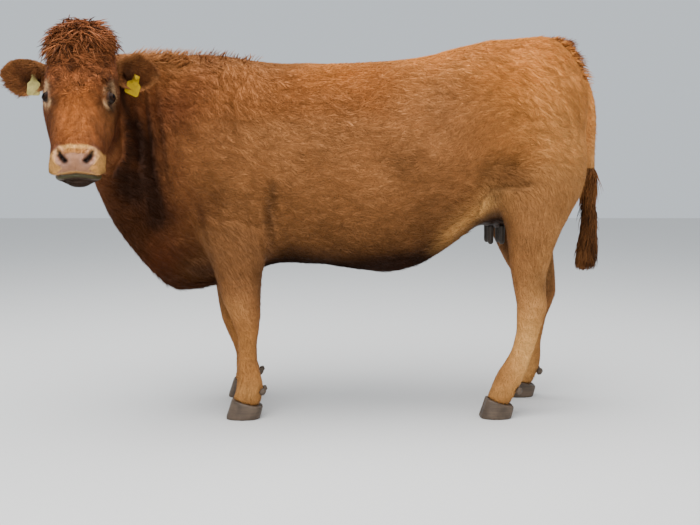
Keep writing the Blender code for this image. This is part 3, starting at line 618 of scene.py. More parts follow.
def nearest_parts(places):
    """Which flesh node each place lies nearest, and how deep the place is under its surface."""
    verts, faces, owner = [], [], []
    for k, node in enumerate(FLESH):
        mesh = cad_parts[node].data
        start = len(verts)
        verts += [v.co for v in mesh.vertices]
        faces += [[start + i for i in polygon.vertices] for polygon in mesh.polygons]
        owner += [k] * len(mesh.polygons)
    tree = BVHTree.FromPolygons(verts, faces)
    parts, depth = np.empty(len(places), dtype=int), np.empty(len(places))
    for i, place in enumerate(places.tolist()):
        hit, normal, face, _ = tree.find_nearest(place)
        parts[i] = owner[face]
        depth[i] = (hit - Vector(place)).dot(normal)
    return parts, depth


def part_mask(parts, start):
    """1 where a vertex belongs to a node whose name starts so."""
    return np.isin(parts, [k for k, node in enumerate(FLESH) if node.startswith(start)]).astype(float)


def ear_frame(hand):
    """Origin at the ear's root, X to its tip, Y across its width and Z out of its opening."""
    root, tip, opening = (Vector(v) for v in EAR_ROOTS[hand])
    tip_way = (tip - root).normalized()
    out = (opening - tip_way * opening.dot(tip_way)).normalized()
    turn = Matrix((tip_way, out.cross(tip_way), out)).transposed().to_4x4()
    return Matrix.Translation(REFERENCE + root) @ turn, EAR_STRETCH * (tip - root).length / EAR_LENGTH


def ear_shell(hand, sides=18, steps=4):
    """Places, faces and (along, across, front) coordinates of one ear's skin."""
    place, stretch = ear_frame(hand)
    points, faces = [], []
    for along, half, cup, thick, curl in in_between(EAR, steps):
        back, front = [], []
        for i in range(sides + 1):
            u = -math.cos(math.pi * i / sides)
            rise = curl + cup * (u * u - 1)
            slab = thick * math.sqrt(max(1 - u * u, 0.0))
            pit = 0.012 * math.exp(-((along - 0.060) / 0.030) ** 2 - (u / 0.55) ** 2)
            fold = 0.0022 * math.sin(u * 9.0) * math.exp(-((along - 0.080) / 0.050) ** 2)
            x = along * stretch * (1 - 0.05 * u * (along > 0.1))
            back.append(((x, half * u, rise - slab / 2), (along, u, 0.0)))
            front.append(((x, half * u, rise + slab / 2 - pit + fold), (along, u, 1.0)))
        points += back + front[::-1][1:-1]
    count = 2 * sides
    last = len(points) - count
    for k in range(0, last, count):
        for i in range(count):
            j = (i + 1) % count
            faces.append((k + i, k + j, k + count + j, k + count + i))
    faces += [tuple(range(count))[::-1], tuple(range(last, last + count))]
    return [place @ Vector(p) for p, c in points], faces, [c for p, c in points]


def eye_frame(side):
    """The eye's middle in the head's frame, the line of the slit, the way up, and the way it looks."""
    centre = np.array([EYE_SETTING.x, side * EYE_SIDE, EYE_SETTING.z])
    out = np.array([EYE_LOOK[0], side * EYE_LOOK[1], EYE_LOOK[2]])
    out /= np.linalg.norm(out)
    slit = np.array([1.0, side * 0.05, 0.10])
    slit -= out * slit.dot(out)
    slit /= np.linalg.norm(slit)
    return centre, slit, np.cross(out, slit) * side, out


def almond_ring(local, side):
    """How far each place lies out from the slit, 1 on the lids' edge, then along, over and before it."""
    centre, slit, up, out = eye_frame(side)
    offset = local - centre
    along, over = offset @ slit / SLIT_HALF, offset @ up / SLIT_RISE
    corners = np.maximum(np.abs(along), 1e-6) ** 1.7 + np.abs(over) ** 2.1
    return corners ** 0.52, along, over, offset @ out


def shape_lids(local):
    """Draw the face in to lids that lie on the eyeball, with an almond opening between them."""
    for side in SIDES:
        centre, slit, up, out = eye_frame(side)
        offset = local - centre
        radius = np.hypot(offset @ slit, offset @ up)
        ring, _, over, beyond = almond_ring(local, side)
        ball = EYE_RADIUS + 0.0014 - 0.0065 * drop(ring, 0.84, 1.06)
        ball += 0.0022 * bell(ring, 0.20, 1.32)
        target = np.sqrt(np.maximum(ball ** 2 - radius ** 2, 0.0))
        hold = drop(radius, 0.0150, 0.0300) * (beyond > -0.006)
        crease = 0.0030 * bell(ring, 0.17, 1.95) * (0.45 + 0.55 * (over < 0))
        crease += 0.0018 * bell(ring, 0.16, 2.60)
        local += out[None, :] * (hold * (target - beyond) - crease * (beyond > -0.02))[:, None]


def on_muzzle(local):
    """Sideways, up, and how far out each place lies on the muzzle."""
    return np.abs(local[:, 1]), local @ MUZZLE_UP, local @ MUZZLE_OUT


def nostril_distance(local):
    side, up, out = on_muzzle(local)
    distance, where = path_distance(np.stack([side, up], axis=1), NOSTRIL)
    return np.where(out > 0.17, distance, 1.0), where


def mouth_offset(local):
    """How far each place lies above the line of the mouth."""
    side, up, _ = on_muzzle(local)
    across, height = zip(*MOUTH)
    line = np.interp(side, across, height)
    return up - np.where(side > across[-1], height[-1] + 0.9 * (side - across[-1]), line)


def nose_pad(local):
    """1 on the bare pad between and round the nostrils."""
    side, up, out = on_muzzle(local)
    top = PAD_TOP - 0.006 * (side / 0.05) ** 2
    wide = 0.058 - 0.018 * ramp(-up, 0.200, 0.222) + 0.016 * ramp(-up, 0.222, 0.236)
    inside = ramp(top - up, -0.002, 0.002) * drop(side, wide, wide + 0.007)
    return inside * ramp(mouth_offset(local), 0.004, 0.012) * ramp(out, 0.14, 0.17)


def shape_muzzle(local, normals):
    """Nostrils with their wings, mouth line, lips, and the groove down the nose pad."""
    side, up, out = on_muzzle(local)
    front = ramp(out, 0.09, 0.13)
    distance, where = nostril_distance(local)
    width = 0.0052 + 0.0078 * np.sin(clip(where * 0.75 + 0.08) * math.pi)
    sink = 0.024 * np.exp(-(distance / width) ** 2.4)
    sink -= 0.0040 * bell(distance - width * 1.75, 0.0042) * ramp(side, 0.030, 0.050)
    mouth = mouth_offset(local)
    sink += 0.0100 * bell(mouth, 0.0040) * front
    sink -= 0.0042 * bell(mouth, 0.0080, 0.0125) * front * ramp(side, 0.02, 0.05)
    sink -= 0.0030 * bell(mouth, 0.0070, -0.0120) * front
    sink += 0.0030 * bell(local[:, 1], 0.0020) * ramp(-up, 0.205, 0.222) * (mouth > 0) * front
    sink += 0.0025 * bell(side, 0.0025, 0.047) * bell(up, 0.010, -0.233) * front
    local -= normals * sink[:, None]


def cheek_offset(body):
    """How far each place on the left side lies aft of the crease behind the cheek."""
    distance, where = path_distance(body[:, [0, 2]], CHEEK)
    aft, height = zip(*CHEEK[::-1])
    along_face = to_head(body + np.array(REFERENCE))[:, 0]
    left = ramp(-body[:, 1], 0.10, 0.20) * (where > 0.0) * (where < 1.0) * drop(along_face, 0.03, 0.08)
    return distance * np.sign(body[:, 0] - np.interp(body[:, 2], height, aft)), left


def neck_folds(body):
    """The wave of the upright folds behind the cheek, from -1 in a crease to 1, and where they lie."""
    x, y, z = body.T
    across = x * 0.92 + y * 0.38 + z * 0.10
    wave = np.sin(across * math.tau / 0.050 + cloud(body, 5.0, 3.1) * 1.6)
    return np.sign(wave) * np.abs(wave) ** 0.7, blob(body, (-0.745, -0.240, 1.040), (0.070, 0.150, 0.250))


def fold_lines(body, local):
    """How far folds of loose skin rise or sink: on the neck, the flank, the elbow and over the eyes."""
    x, y, z = body.T
    drift = cloud(body, 5.0, 3.1) * 0.9
    wave, hold = neck_folds(body)
    rise = 0.0080 * hold * wave
    offset, left = cheek_offset(body)
    rise += left * (0.010 * bell(offset, 0.024, -0.030) - 0.014 * bell(offset, 0.011))
    stifle = beside(body, STIFLE) * (1 + 0.25 * drift)
    outer = ramp(np.abs(y), 0.12, 0.20)
    rise -= 0.0100 * outer * bell(stifle, 0.014)
    rise += 0.0060 * outer * blob(body, (0.62, 0.0, 0.965), (0.11, 0.60, 0.045))
    rise += 0.0022 * cloud(body, 9.0, 4.0) * drop(-x, 0.66, 0.80)
    throat = np.sin((x * 0.75 + z * 0.66) * math.tau / 0.085 + drift)
    rise += 0.005 * throat * blob(body, (-0.720, -0.120, 0.700), (0.12, 0.14, 0.12))
    elbow = np.sin((x * 0.97 + z * 0.25) * math.tau / 0.042 + drift)
    for place in ((-0.315, -0.265, 0.720), (-0.345, 0.265, 0.720)):
        rise += 0.0045 * elbow * blob(body, place, (0.045, 0.10, 0.130))
    wrinkle = np.sin(local[:, 0] * math.tau / 0.011)
    for side in SIDES:
        rise += 0.0012 * wrinkle * blob(local, (-0.036, side * 0.085, 0.050), (0.016, 0.030, 0.030))
    return rise


def skin_depth(parts, body, local):
    """How deep the skin lies under the solids' surface."""
    depth = np.full(len(body), bpy.context.scene.cow_coat.body_depth)
    for part, value in (("foreleg", 0.0055), ("hindleg", 0.0060), ("head", 0.0050), ("tail", 0.0050),
                        ("udder", 0.0010)):
        depth = np.where(part_mask(parts, part) > 0, value, depth)
    face = ramp(local[:, 0], 0.02, 0.12) * drop(local[:, 2], 0.4, 0.6) * part_mask(parts, "head")
    return np.where(body[:, 2] < 0.20, 0.0035, blend(depth, 0.0022, face))


def near_head(places):
    return drop(np.linalg.norm(to_head(places), axis=1), 0.30, 0.42)


def soften_head(mesh, rounds):
    places = positions(mesh)
    place_vertices(mesh, smoothed(places, edge_ends(mesh), rounds, HALF_WEIGHT * near_head(places)))


def build_skin():
    """The whole skin, with its markings and the sizes and lie of its hair kept as attributes."""
    skin = fused_flesh()
    mesh = skin.data
    places, ends = positions(mesh), edge_ends(mesh)
    slim = np.maximum(drop(to_body(places)[:, 2], 0.55, 0.75), part_mask(nearest_parts(places)[0], "tail"))
    places = smoothed(places, ends, 34, HALF_WEIGHT * (1 - near_head(places)) * (1 - 0.88 * slim))
    place_vertices(mesh, smoothed(places, ends, 5))
    face, muzzle, crown = (np.array(HEAD @ Vector(place))
                           for place in ((0.04, 0, -0.03), (0.290, 0, -0.012), (-0.15, 0, 0.0)))
    eyes = [np.array(place) for place in EYES.values()]
    refine(mesh, [face, muzzle, crown], [0.24, 0.13, 0.20])
    soften_head(mesh, 5)
    refine(mesh, eyes + [muzzle], [0.042, 0.042, 0.075])
    refine(mesh, eyes, [0.032, 0.032])
    soften_head(mesh, 4)
    places, normals, ends = positions(mesh), vertex_normals(mesh), edge_ends(mesh)
    parts, depth = nearest_parts(places)
    body, local = to_body(places), to_head(places)
    wanted = smoothed(skin_depth(parts, body, local), ends, 6)
    shift = smoothed(np.clip(wanted - depth, -0.006, 0.020), ends, 3)
    places -= normals * shift[:, None]
    places += normals * fold_lines(body, local)[:, None]
    local = to_head(places)
    shape_muzzle(local, normals @ HEAD_TURN)
    shape_lids(local)
    place_vertices(mesh, local @ HEAD_TURN.T + np.array(HEAD.translation))
    add_ears(mesh)
    mark_skin(mesh)
    unwrap(skin)
    return skin


def add_ears(mesh):
    """Join both ears to the skin, and keep their own coordinates as attributes."""
    ear_place = [(0.0, 0.0, 0.0)] * len(mesh.vertices)
    ear_side = [0.0] * len(mesh.vertices)
    bm = loaded(mesh)
    for number, hand in enumerate(HANDS, 1):
        places, faces, own = ear_shell(hand)
        verts = [bm.verts.new(p) for p in places]
        made = [bm.faces.new([verts[i] for i in face]) for face in faces]
        bmesh.ops.recalc_face_normals(bm, faces=made)
        ear_place += own
        ear_side += [number] * len(own)
    unload(bm, mesh).shade_smooth()
    store(mesh, "ear_place", np.array(ear_place), "FLOAT_VECTOR")
    store(mesh, "ear_side", np.array(ear_side))


def unwrap(thing):
    """Unwrap a mesh by its own shape."""
    bpy.context.view_layer.objects.active = thing
    thing.select_set(True)
    thing.data.uv_layers.new(name="OFBake")
    bpy.ops.object.mode_set(mode="EDIT")
    bpy.ops.mesh.select_all(action="SELECT")
    bpy.ops.uv.smart_project(angle_limit=math.radians(66), island_margin=0.002)
    bpy.ops.object.mode_set(mode="OBJECT")
    thing.select_set(False)


# ---------------------------------------------------------------- markings and the lie of the coat
class Sites:
    """Where each vertex of the skin lies, and how far it belongs to each part."""

    def __init__(self, mesh):
        self.places, self.normals, self.ends = positions(mesh), vertex_normals(mesh), edge_ends(mesh)
        self.body, self.local = to_body(self.places), to_head(self.places)
        self.ear = attribute(mesh, "ear_side").round().astype(int)
        self.on_ear = self.ear > 0
        self.ear_place = attribute(mesh, "ear_place", 3)
        parts = nearest_parts(self.places)[0]
        self.head, self.neck, self.trunk, self.fore, self.hind, self.tail, self.udder = (
            smoothed(part_mask(parts, part), self.ends, rounds)
            for part, rounds in (("head", 8), ("neck", 30), ("trunk", 30), ("foreleg", 30), ("hindleg", 30),
                                 ("tail", 3), ("udder", 4)))
        self.head = np.where(self.on_ear, 0.0, self.head)
        self.legs = clip(self.fore + self.hind)


class Paint:
    """Colours laid over one another at each place."""

    def __init__(self, count, colour):
        self.colour = np.tile(np.array(colour), (count, 1))

    def lay(self, colour, weight):
        self.colour = lerp(self.colour, colour, weight)

    def dim(self, weight, strength=1.0):
        self.colour *= 1 - weight[:, None] * np.array(strength)


def markings(s):
    """The coat's colour at each place."""
    c = bpy.context.scene.cow_colours
    body, (x, y, z) = s.body, s.body.T
    patch, mottle = cloud(body, 4.0, 1.7), cloud(body, 14.0, 8.8)
    paint = Paint(len(body), c.side)
    lay, dim = paint.lay, paint.dim

    def spot(middle, spreads):
        return blob(body, middle, spreads)

    def flank(aft, height, length, rise):
        """A spot seen from the side, on both flanks."""
        return spot((aft, 0.0, height), (length, 0.50, rise))

    # golden brown high on the back, partly the coat's colour and partly painted light from above, then over
    # the hind quarters
    lay(c.back, clip(ramp(z, 1.15, 1.43) * (0.62 + 0.4 * patch)) * ramp(x, -0.62, -0.10))
    lay(c.back, clip(ramp(x, 0.30, 0.70) * ramp(z, 0.75, 1.30) * 0.85))
    lay(c.gold, flank(0.85, 1.05, 0.16, 0.34) * (0.55 + 0.12 * patch))
    # shadowed hair low on the trunk, before the arm and behind the elbow
    dim(drop(z, 0.56, 0.98 + 0.06 * patch) * clip(s.trunk + s.neck), 0.68)
    belly = clip(drop(z, 0.53, 0.70 + 0.03 * patch) * s.trunk * drop(x, 0.30, 0.50) * 1.7)
    lay(c.deep, belly * 0.97)
    dim(belly, 0.5)
    dim(spot((-0.52, -0.20, 0.86), (0.13, 0.40, 0.13)), 0.42)
    # painted shade along the creases at the elbow, before the arm and at the stifle
    for path, width, dark in CREASE_SHADES:
        dim(bell(beside(body, path), width) * ramp(np.abs(y), 0.05, 0.15), dark)
    # painted shadow above the stifle crease, and painted light on the thigh's bulge above it
    dim(flank(0.562, 0.957, 0.095, 0.052), 0.76)
    lay(c.gold, flank(0.75, 1.10, 0.12, 0.14) * 0.35)
    for place, dark in SHADES:
        dim(flank(*place) * (1 + 0.5 * patch + 0.3 * mottle), dark)
    # painted shade: a band high on the side made darker and warmer against the overhead lamp's light
    dim(ramp(z, 1.10, 1.20) * drop(z, 1.30, 1.40) * drop(x, 0.05, 0.30), (0.20, 0.30, 0.42))
    # the neck: red-brown, with painted shade in the creases of its folds, a painted shadow under the jaw and
    # painted shade down to the brisket
    wave, hold = neck_folds(body)
    fore_part = clip(s.neck + s.trunk) * (1 - 0.35 * ramp(y, 0.0, 0.15))
    fore_part *= drop(x + 0.08 * patch + 0.03 * mottle, -0.78, -0.40 + 0.10 * ramp(y, 0.0, 0.1))
    lay(c.red, fore_part * (1 - 0.85 * s.neck * ramp(z, 1.18, 1.36)) * 0.80)
    dim(clip(0.95 * hold * clip(-wave), 0.85))
    lay(c.dark, clip(s.neck * drop(z, 0.72, 1.00) * drop(x + 0.06 * patch, -0.80, -0.60)) * 0.85)
    offset, left = cheek_offset(body)
    jaw = left * ramp(-offset, -0.004, 0.012) * (x > -0.98)
    lay(c.red, jaw)
    lay(c.side, jaw * bell(offset, 0.030, -0.035) * 0.35)
    # painted shadow under the jaw and down the throat
    jaw_shadow = bell(beside(body, JAW_SHADOW) + 0.010 * mottle, 0.050) * ramp(-y, 0.02, 0.12)
    jaw_shadow = np.maximum(jaw_shadow, spot((-0.830, -0.20, 0.905), (0.075, 0.30, 0.095))) * (1 - jaw)
    lay(c.deep, clip(jaw_shadow * 1.25, 0.96) * (1 - s.head))
    lay(c.dark, clip(spot((-0.64, 0.0, 0.54), (0.17, 0.30, 0.10)) * 1.2, 0.8))
    lay(c.red, spot((-0.72, -0.05, 0.60), (0.10, 0.12, 0.05)) * 0.35)
    # the legs
    lay(THIGH, clip(s.hind * ramp(z, 0.36, 0.55) + flank(0.60, 0.86, 0.13, 0.11)) * 0.75)
    lay(c.side, s.fore * ramp(z, 0.35, 0.60) * 0.6)
    dim(s.fore * ramp(z, 0.42, 0.60) * drop(z, 0.72, 0.90), 0.48)
    lay(c.gold, s.fore * bell(z, 0.05, 0.43) * ramp(-x, 0.36, 0.42) * 0.25)
    lay(c.gold, bell(beside(body, REAR_EDGE), 0.07) * 0.55)
    lay(c.sandy, drop(z, 0.30, 0.50) * s.legs * (0.9 + 0.15 * patch))
    lay(c.pale, s.hind * spot((0.70, 0.0, 0.26), (0.075, 0.6, 0.17)) * 0.72)
    lay(c.pale, s.legs * bell(z, 0.05, 0.10) * 0.20)
    lay(c.dark, s.hind * spot((0.74, -0.23, 0.52), (0.035, 0.05, 0.05)) * 0.45)
    # painted shade on the legs' inner sides, between the legs
    lay(c.dark, drop(np.abs(y), 0.12, 0.19) * s.legs * ramp(z, 0.30, 0.45) * 0.85)
    # the fold of the flank and the shadows round it
    fold, near = beside(body, FLANK), ramp(-y, 0.0, 0.12) * ramp(x, 0.26, 0.42)
    lay(c.gold, bell(fold, 0.060) * near * 0.60)
    lay(c.pale, bell(fold, 0.026) * near * (0.55 + 0.2 * mottle))
    # painted shade under the belly
    lay(c.deep, clip(spot((0.16, -0.15, 0.595), (0.115, 0.4, 0.050)) * 1.3, 0.92))
    dim(flank(0.575, 0.940, 0.085, 0.042), (0.55, 0.62, 0.70))
    dim(flank(0.548, 0.868, 0.036, 0.045), 0.42)
    dim(flank(0.640, 0.700, 0.120, 0.130), 0.24)
    # painted shade down the back edge of the foreleg
    dim(s.fore * spot((-0.345, -0.22, 0.500), (0.030, 0.12, 0.130)), 0.40)
    lay(c.red, s.tail * ramp(z, 1.28, 1.44) * 0.8)
    lay(c.red, spot((0.84, 0.0, 1.46), (0.12, 0.045, 0.10)) * 0.75)
    lay(c.deep, s.tail * drop(z, 0.86, 1.02) * 0.8)
    paint.colour *= 1 + 0.07 * mottle[:, None] + 0.06 * patch[:, None]
    paint.colour = blend(paint.colour, head_markings(s.local, c), s.head[:, None])
    # painted shade in the crease behind the cheek, the udder's dark skin and the painted shadow round it
    crease = bell(np.maximum(offset, 0), 0.016) * bell(np.minimum(offset, 0), 0.007)
    lay(c.deep, left * crease * 0.92)
    lay(c.bare, s.udder * drop(z, 0.80, 0.86))
    lay(c.deep, spot((0.54, 0.0, 0.755), (0.09, 0.17, 0.06)) * 0.85)
    dim(spot((0.560, -0.22, 0.760), (0.040, 0.12, 0.075)), 0.55)
    return clip(blend(paint.colour, ear_markings(s, c), s.on_ear.astype(float)[:, None]))


def head_markings(local, c):
    a, b, out = local.T
    paint = Paint(len(local), c.red)
    lay, dim = paint.lay, paint.dim

    def spot(middle, spreads):
        return blob(local, middle, spreads)

    lay(c.side, spot((-0.16, 0.0, 0.09), (0.12, 0.13, 0.10)) * 0.25)
    lay(c.side, spot((0.10, 0.0, 0.02), (0.13, 0.13, 0.07)) * 0.35)
    # painted shade where the head turns away below the eyes, and down the sides of the face
    lay(c.dark, ramp(-out, 0.09, 0.15) * 0.5)
    dim(ramp(np.abs(b), 0.075, 0.115) * drop(np.abs(a), 0.02, 0.10), 0.10)
    lay(c.side, spot((0.03, 0.095, -0.03), (0.11, 0.05, 0.07)) * 0.45)
    lay(c.bridge, clip(spot((0.145, 0.0, 0.06), (0.110, 0.060, 0.060)) * 1.4))
    lay(c.bridge, clip(spot((0.06, 0.0, 0.07), (0.07, 0.08, 0.04))) * 0.35)
    # streaks that spread from the middle of the forehead
    angle, reach = np.arctan2(b, a - 0.012), np.hypot(a - 0.012, b)
    rays = cloud(np.stack([np.cos(angle) * 7, np.sin(angle) * 7, reach * 9], axis=1), 1.0, 3.0)
    rays += 0.7 * cloud(local * np.array([22.0, 70.0, 70.0]), 1.0, 5.0)
    paint.colour *= np.exp(0.26 * rays * ramp(reach, 0.0, 0.03))[:, None]
    # the pale patches round the eyes, the dark edges of the lids and the tear lines
    for side in SIDES:
        ring, along, over, before = almond_ring(local, side)
        near = before > -0.012
        above = clip(0.55 - 0.45 * along + 0.25 * over)
        below = np.exp(-((along - 1.55) / 0.70) ** 2 - ((over + 0.35) / 1.1) ** 2) * near
        lay(EYE_RIM, clip(bell(ring, 0.75, 2.05) * near * above * 0.95, 0.85))
        lay(EYE_RIM, clip(below * 0.95, 0.9))
        lay(LID_EDGE, bell(ring, 0.24, 1.02) * near * 0.95)
        tear = [(0.022, side * 0.088, 0.020), (0.040, side * 0.077, 0.034), (0.072, side * 0.070, 0.040)]
        lay(c.deep, bell(path_distance(local, tear)[0], 0.0065) * 0.75)
    # the muzzle
    across, up, far = on_muzzle(local)
    front = ramp(far, 0.085, 0.115)
    shaded = 0.42 * ramp(across, 0.055, 0.092) + 0.25 * ramp(-up, 0.215, 0.245)
    cream = np.array(c.pale) * (1 - shaded)[:, None]
    edge = RING_TOP - 0.038 * (across / 0.087) ** 3 + 0.002 * cloud(local, 60.0, 2.0)
    lay(cream, ramp(edge - up, -0.003, 0.004) * front * 0.95)
    tan = ramp(edge - up, 0.009, 0.014) * ramp(up, PAD_TOP - 0.004, PAD_TOP) * drop(across, 0.035, 0.055)
    lay(c.bridge, tan * front * 0.65)
    lay(c.nose, nose_pad(local))
    nostril, where = nostril_distance(local)
    lay(NOSTRIL_RIM, bell(nostril, 0.009, 0.012) * 0.45)
    mouth = mouth_offset(local)
    lay(c.lip, ramp(-mouth, -0.001, 0.003) * ramp(far, 0.06, 0.09))
    lay(c.deep, ramp(-mouth, 0.008, 0.018) * ramp(far, 0.02, 0.06) * 0.9)
    # painted shade in the groove of the mouth and deep in the nostrils
    lay(MOUTH_SHADE, bell(mouth, 0.0040) * front * 0.9)
    lay(NOSTRIL_SHADE, np.exp(-(nostril / (0.0075 + 0.0045 * where)) ** 3))
    return paint.colour


def ear_markings(s, c):
    along, across, front = s.ear_place.T
    paint = Paint(len(along), c.red)
    paint.lay(c.side, 0.40 + 0.25 * cloud(s.body, 30.0, 4.0))
    # painted shade over the ear's inner face, darkest deep in the cup
    paint.lay(c.dark, front * 0.45)
    paint.lay(c.deep, front * bell(along, 0.045, 0.075) * bell(across, 0.55) * 0.95)
    paint.lay(c.side, ramp(np.abs(across), 0.55, 1.0) * 0.55)
    return paint.colour


def lie_of_coat(s):
    """The way the hair points at each place, in the world's frame, and how far it's turned there."""
    body, local, (x, y, z) = s.body, s.local, s.body.T
    steep = 0.20 + 0.45 * ramp(-x, 0.15, 0.45) + 0.65 * ramp(x, 0.50, 0.80) * drop(z, 1.20, 1.42)
    steep *= 0.15 + 0.85 * ramp(np.abs(y), 0.03, 0.20)
    steep *= np.where(z < 0.62, 0.3, 1.0)
    way = np.stack([np.ones(len(x)), np.sign(y) * 0.10 * (z > 1.2), -steep], axis=1)
    for own_way, mask in (((0.60, 0.42, -0.62), s.neck), ((0.16, 0.0, -1.0), s.legs),
                          ((0.25, 0.0, -1.0), s.tail)):
        way = blend(way, np.array(own_way), mask[:, None])
    radial = local - np.array([0.012, 0.0, 0.030])
    radial[:, 2] *= 1.3
    radial /= np.linalg.norm(radial, axis=1)[:, None] + 1e-6
    for own_way, mask in (((1.0, 0.0, -0.15), ramp(local[:, 0], 0.05, 0.14)),
                          ((-0.45, 0.0, -1.0), ramp(-local[:, 2], 0.06, 0.14))):
        radial = blend(radial, np.array(own_way), mask[:, None])
    way = blend(way, radial @ HEAD_TURN.T, s.head[:, None])
    turn = 0.45 * cloud(body, 2.2, 9.2) + 0.22 * cloud(body, 7.0, 4.4)
    for aft, height, size, strength in SWIRLS:
        near = np.exp(-((x - aft) ** 2 + (z - height) ** 2) / size ** 2)
        turn += strength * near * (1 - s.head)
    for number, hand in enumerate(HANDS, 1):
        axes = np.array(ear_frame(hand)[0].to_3x3())
        fanned = axes[:, 0] + axes[:, 1] * s.ear_place[:, 1:2] * 0.55
        way = np.where((s.ear == number)[:, None], fanned, way)
    turn = turn * (1 - 0.3 * s.head) + 0.55 * s.head * cloud(body, 26.0, 7.7)
    return way, np.where(s.on_ear, 0.0, turn)


def bare_places(s):
    """1 where no hair grows: nose pad, lips, nostrils, lid edges and udder."""
    local = s.local
    front = ramp(on_muzzle(local)[2], 0.06, 0.09)
    mouth = mouth_offset(local)
    bare = [nose_pad(local), bell(mouth, 0.007) * front,
            ramp(-mouth, 0.0, 0.004) * drop(-mouth, 0.012, 0.024) * front * 0.9,
            np.exp(-(nostril_distance(local)[0] / 0.013) ** 4)]
    for side in SIDES:
        ring, _, _, before = almond_ring(local, side)
        bare.append(drop(ring, 1.30, 1.75) * (before > -0.012))
    return np.maximum(np.max(bare, axis=0) * s.head, s.udder * drop(s.body[:, 2], 0.73, 0.79))


def hair_sizes(s):
    """Length, width, lift and density of the hair at each place, and where it's bare."""
    coat = bpy.context.scene.cow_coat
    body, z, down_face = s.body, s.body[:, 2], s.local[:, 0]
    low = s.legs * drop(z, 0.28, 0.60)
    face = s.head * ramp(down_face, -0.02, 0.10)
    short = ramp(down_face, -0.06, 0.12)
    length = coat.body_length * (1 - 0.25 * s.legs) * (1 - 0.35 * low)
    length = blend(length, 0.021 - 0.011 * short, s.head)
    length += 0.010 * s.legs * bell(z, 0.025, 0.085)
    length *= 1 - 0.3 * s.tail
    length += 0.012 * blob(body, (0.20, 0.0, 0.56), (0.20, 0.16, 0.10))
    length += 0.008 * blob(body, (-0.66, 0.0, 0.62), (0.30, 0.40, 0.25))
    width = coat.body_width * (1 - 0.25 * s.legs) * (1 - 0.20 * low)
    width = blend(width, 0.0030 - 0.0009 * short, s.head)
    lift = 0.17 * (1 - 0.25 * s.legs) * (1 - 0.15 * face)
    bare = bare_places(s)
    density = (1 + 0.5 * low) * (1 + 1.6 * face) * (1 - clip(bare * 1.6))
    density = np.where(s.on_ear & (s.ear_place[:, 0] < 0.012), 0.0, density)
    length = np.where(s.on_ear, 0.018, length) * (1 + 0.22 * cloud(body, 9.0, 6.6))
    sizes = {"length": length, "width": np.where(s.on_ear, 0.0028, width),
             "lift": np.where(s.on_ear, 0.24, lift), "density": clip(density, None)}
    return sizes, np.where(s.on_ear, 0.0, bare)


def mark_skin(mesh):
    """Colour the skin and set the hair's lie and sizes on it."""
    s = Sites(mesh)
    store_colour(mesh, markings(s))
    way, turn = lie_of_coat(s)
    flat = laid(way, s.normals, turn)
    sizes, bare = hair_sizes(s)
    set_hair(mesh, laid(smoothed(flat, s.ends, 3), s.normals), **sizes)
    store(mesh, "bare", bare)
    store(mesh, "on_head", s.head)
    store(mesh, "on_leg", clip(s.fore + s.hind + s.tail))


# ---------------------------------------------------------------- locks of hair
def lock(name, steps, bend=0.0, wave=0.0, turns=1.0, curl=0.0, hook=0.8):
    """One closed lock: Z along it, X away from the skin, Y across it, all in units of its own size."""
    verts, faces, along, patch = [], [], [], []
    for t in (k / steps for k in range(steps)):
        half = 0.5 * (0.62 + 0.38 * math.sin(min(t * 2.2, 1.0) * math.pi / 2)) * (1 - t ** 2.2)
        phase = t * math.tau * turns
        x = t - hook * t * t + curl * (1 - math.cos(phase)) * 0.5
        y = bend * t * t + wave * math.sin(phase)
        ridge = 0.11 * (1 - t ** 2)
        verts += [(x, y - half, t), (x + ridge, y, t), (x, y + half, t)]
        along += [t] * 3
        patch += [(0.0, t), (0.5, t), (1.0, t)]
    phase = math.tau * turns
    verts.append((1 - hook + curl * (1 - math.cos(phase)) * 0.5, bend + wave * math.sin(phase), 1.0))
    along.append(1.0)
    patch.append((0.5, 1.0))
    last, tip = 3 * (steps - 1), 3 * steps
    round_ways = ((0, 1), (1, 2), (2, 0))
    for k in range(0, last, 3):
        faces += [(k + i, k + j, k + 3 + j, k + 3 + i) for i, j in round_ways]
    faces += [(last + i, last + j, tip) for i, j in round_ways] + [(2, 1, 0)]
    bm = bmesh.new()
    made = [bm.verts.new(v) for v in verts]
    for face in faces:
        bm.faces.new([made[i] for i in face])
    bmesh.ops.recalc_face_normals(bm, faces=bm.faces[:])
    bm.verts.index_update()
    uv = bm.loops.layers.uv.new("Lock")
    for face in bm.faces:
        for corner in face.loops:
            corner[uv].uv = patch[corner.vert.index]
    mesh = unload(bm, bpy.data.meshes.new(name))
    mesh.shade_smooth()
    store(mesh, "along", np.array(along))
    return bpy.data.objects.new(name, mesh)


def shapes(steps, keys, *rows):
    """Settings for a few locks of as many steps."""
    return [dict(zip(keys, row), steps=steps) for row in rows]


FLAT = shapes(1, ("bend", "hook"), (0.0, 0.1), (1.0, 0.3), (-1.0, 0.0), (0.5, -0.1), (-0.5, 0.4))
EAR_LOCKS = shapes(2, ("bend", "hook"), (0.0, 0.8), (0.9, 0.75), (-0.9, 0.85)) + shapes(
    3, ("bend", "hook"), (0.8, 0.7), (-1.0, 0.9))
SPIKES = shapes(3, ("bend", "hook"), (0.0, 0.5), (2.2, 0.9), (-2.0, 0.3), (1.0, 1.2))
CURLS = shapes(4, ("bend", "wave", "turns", "curl", "hook"), (1.3, 0.8, 0.9, 0.15, 0.9),
               (-1.6, 0.6, 0.8, 0.20, 0.9), (0.7, -0.9, 1.0, 0.10, 0.9), (-0.6, -0.8, 0.7, 0.2, 0.9))
FORELOCK = shapes(5, ("bend", "wave", "turns", "hook"), (1.2, 0.7, 0.9, 1.5), (-1.4, 0.6, 0.8, 1.8),
                  (0.5, -0.8, 1.1, 1.1), (-0.4, -0.6, 0.8, 1.6), (0.9, 0.5, 0.7, 0.7))
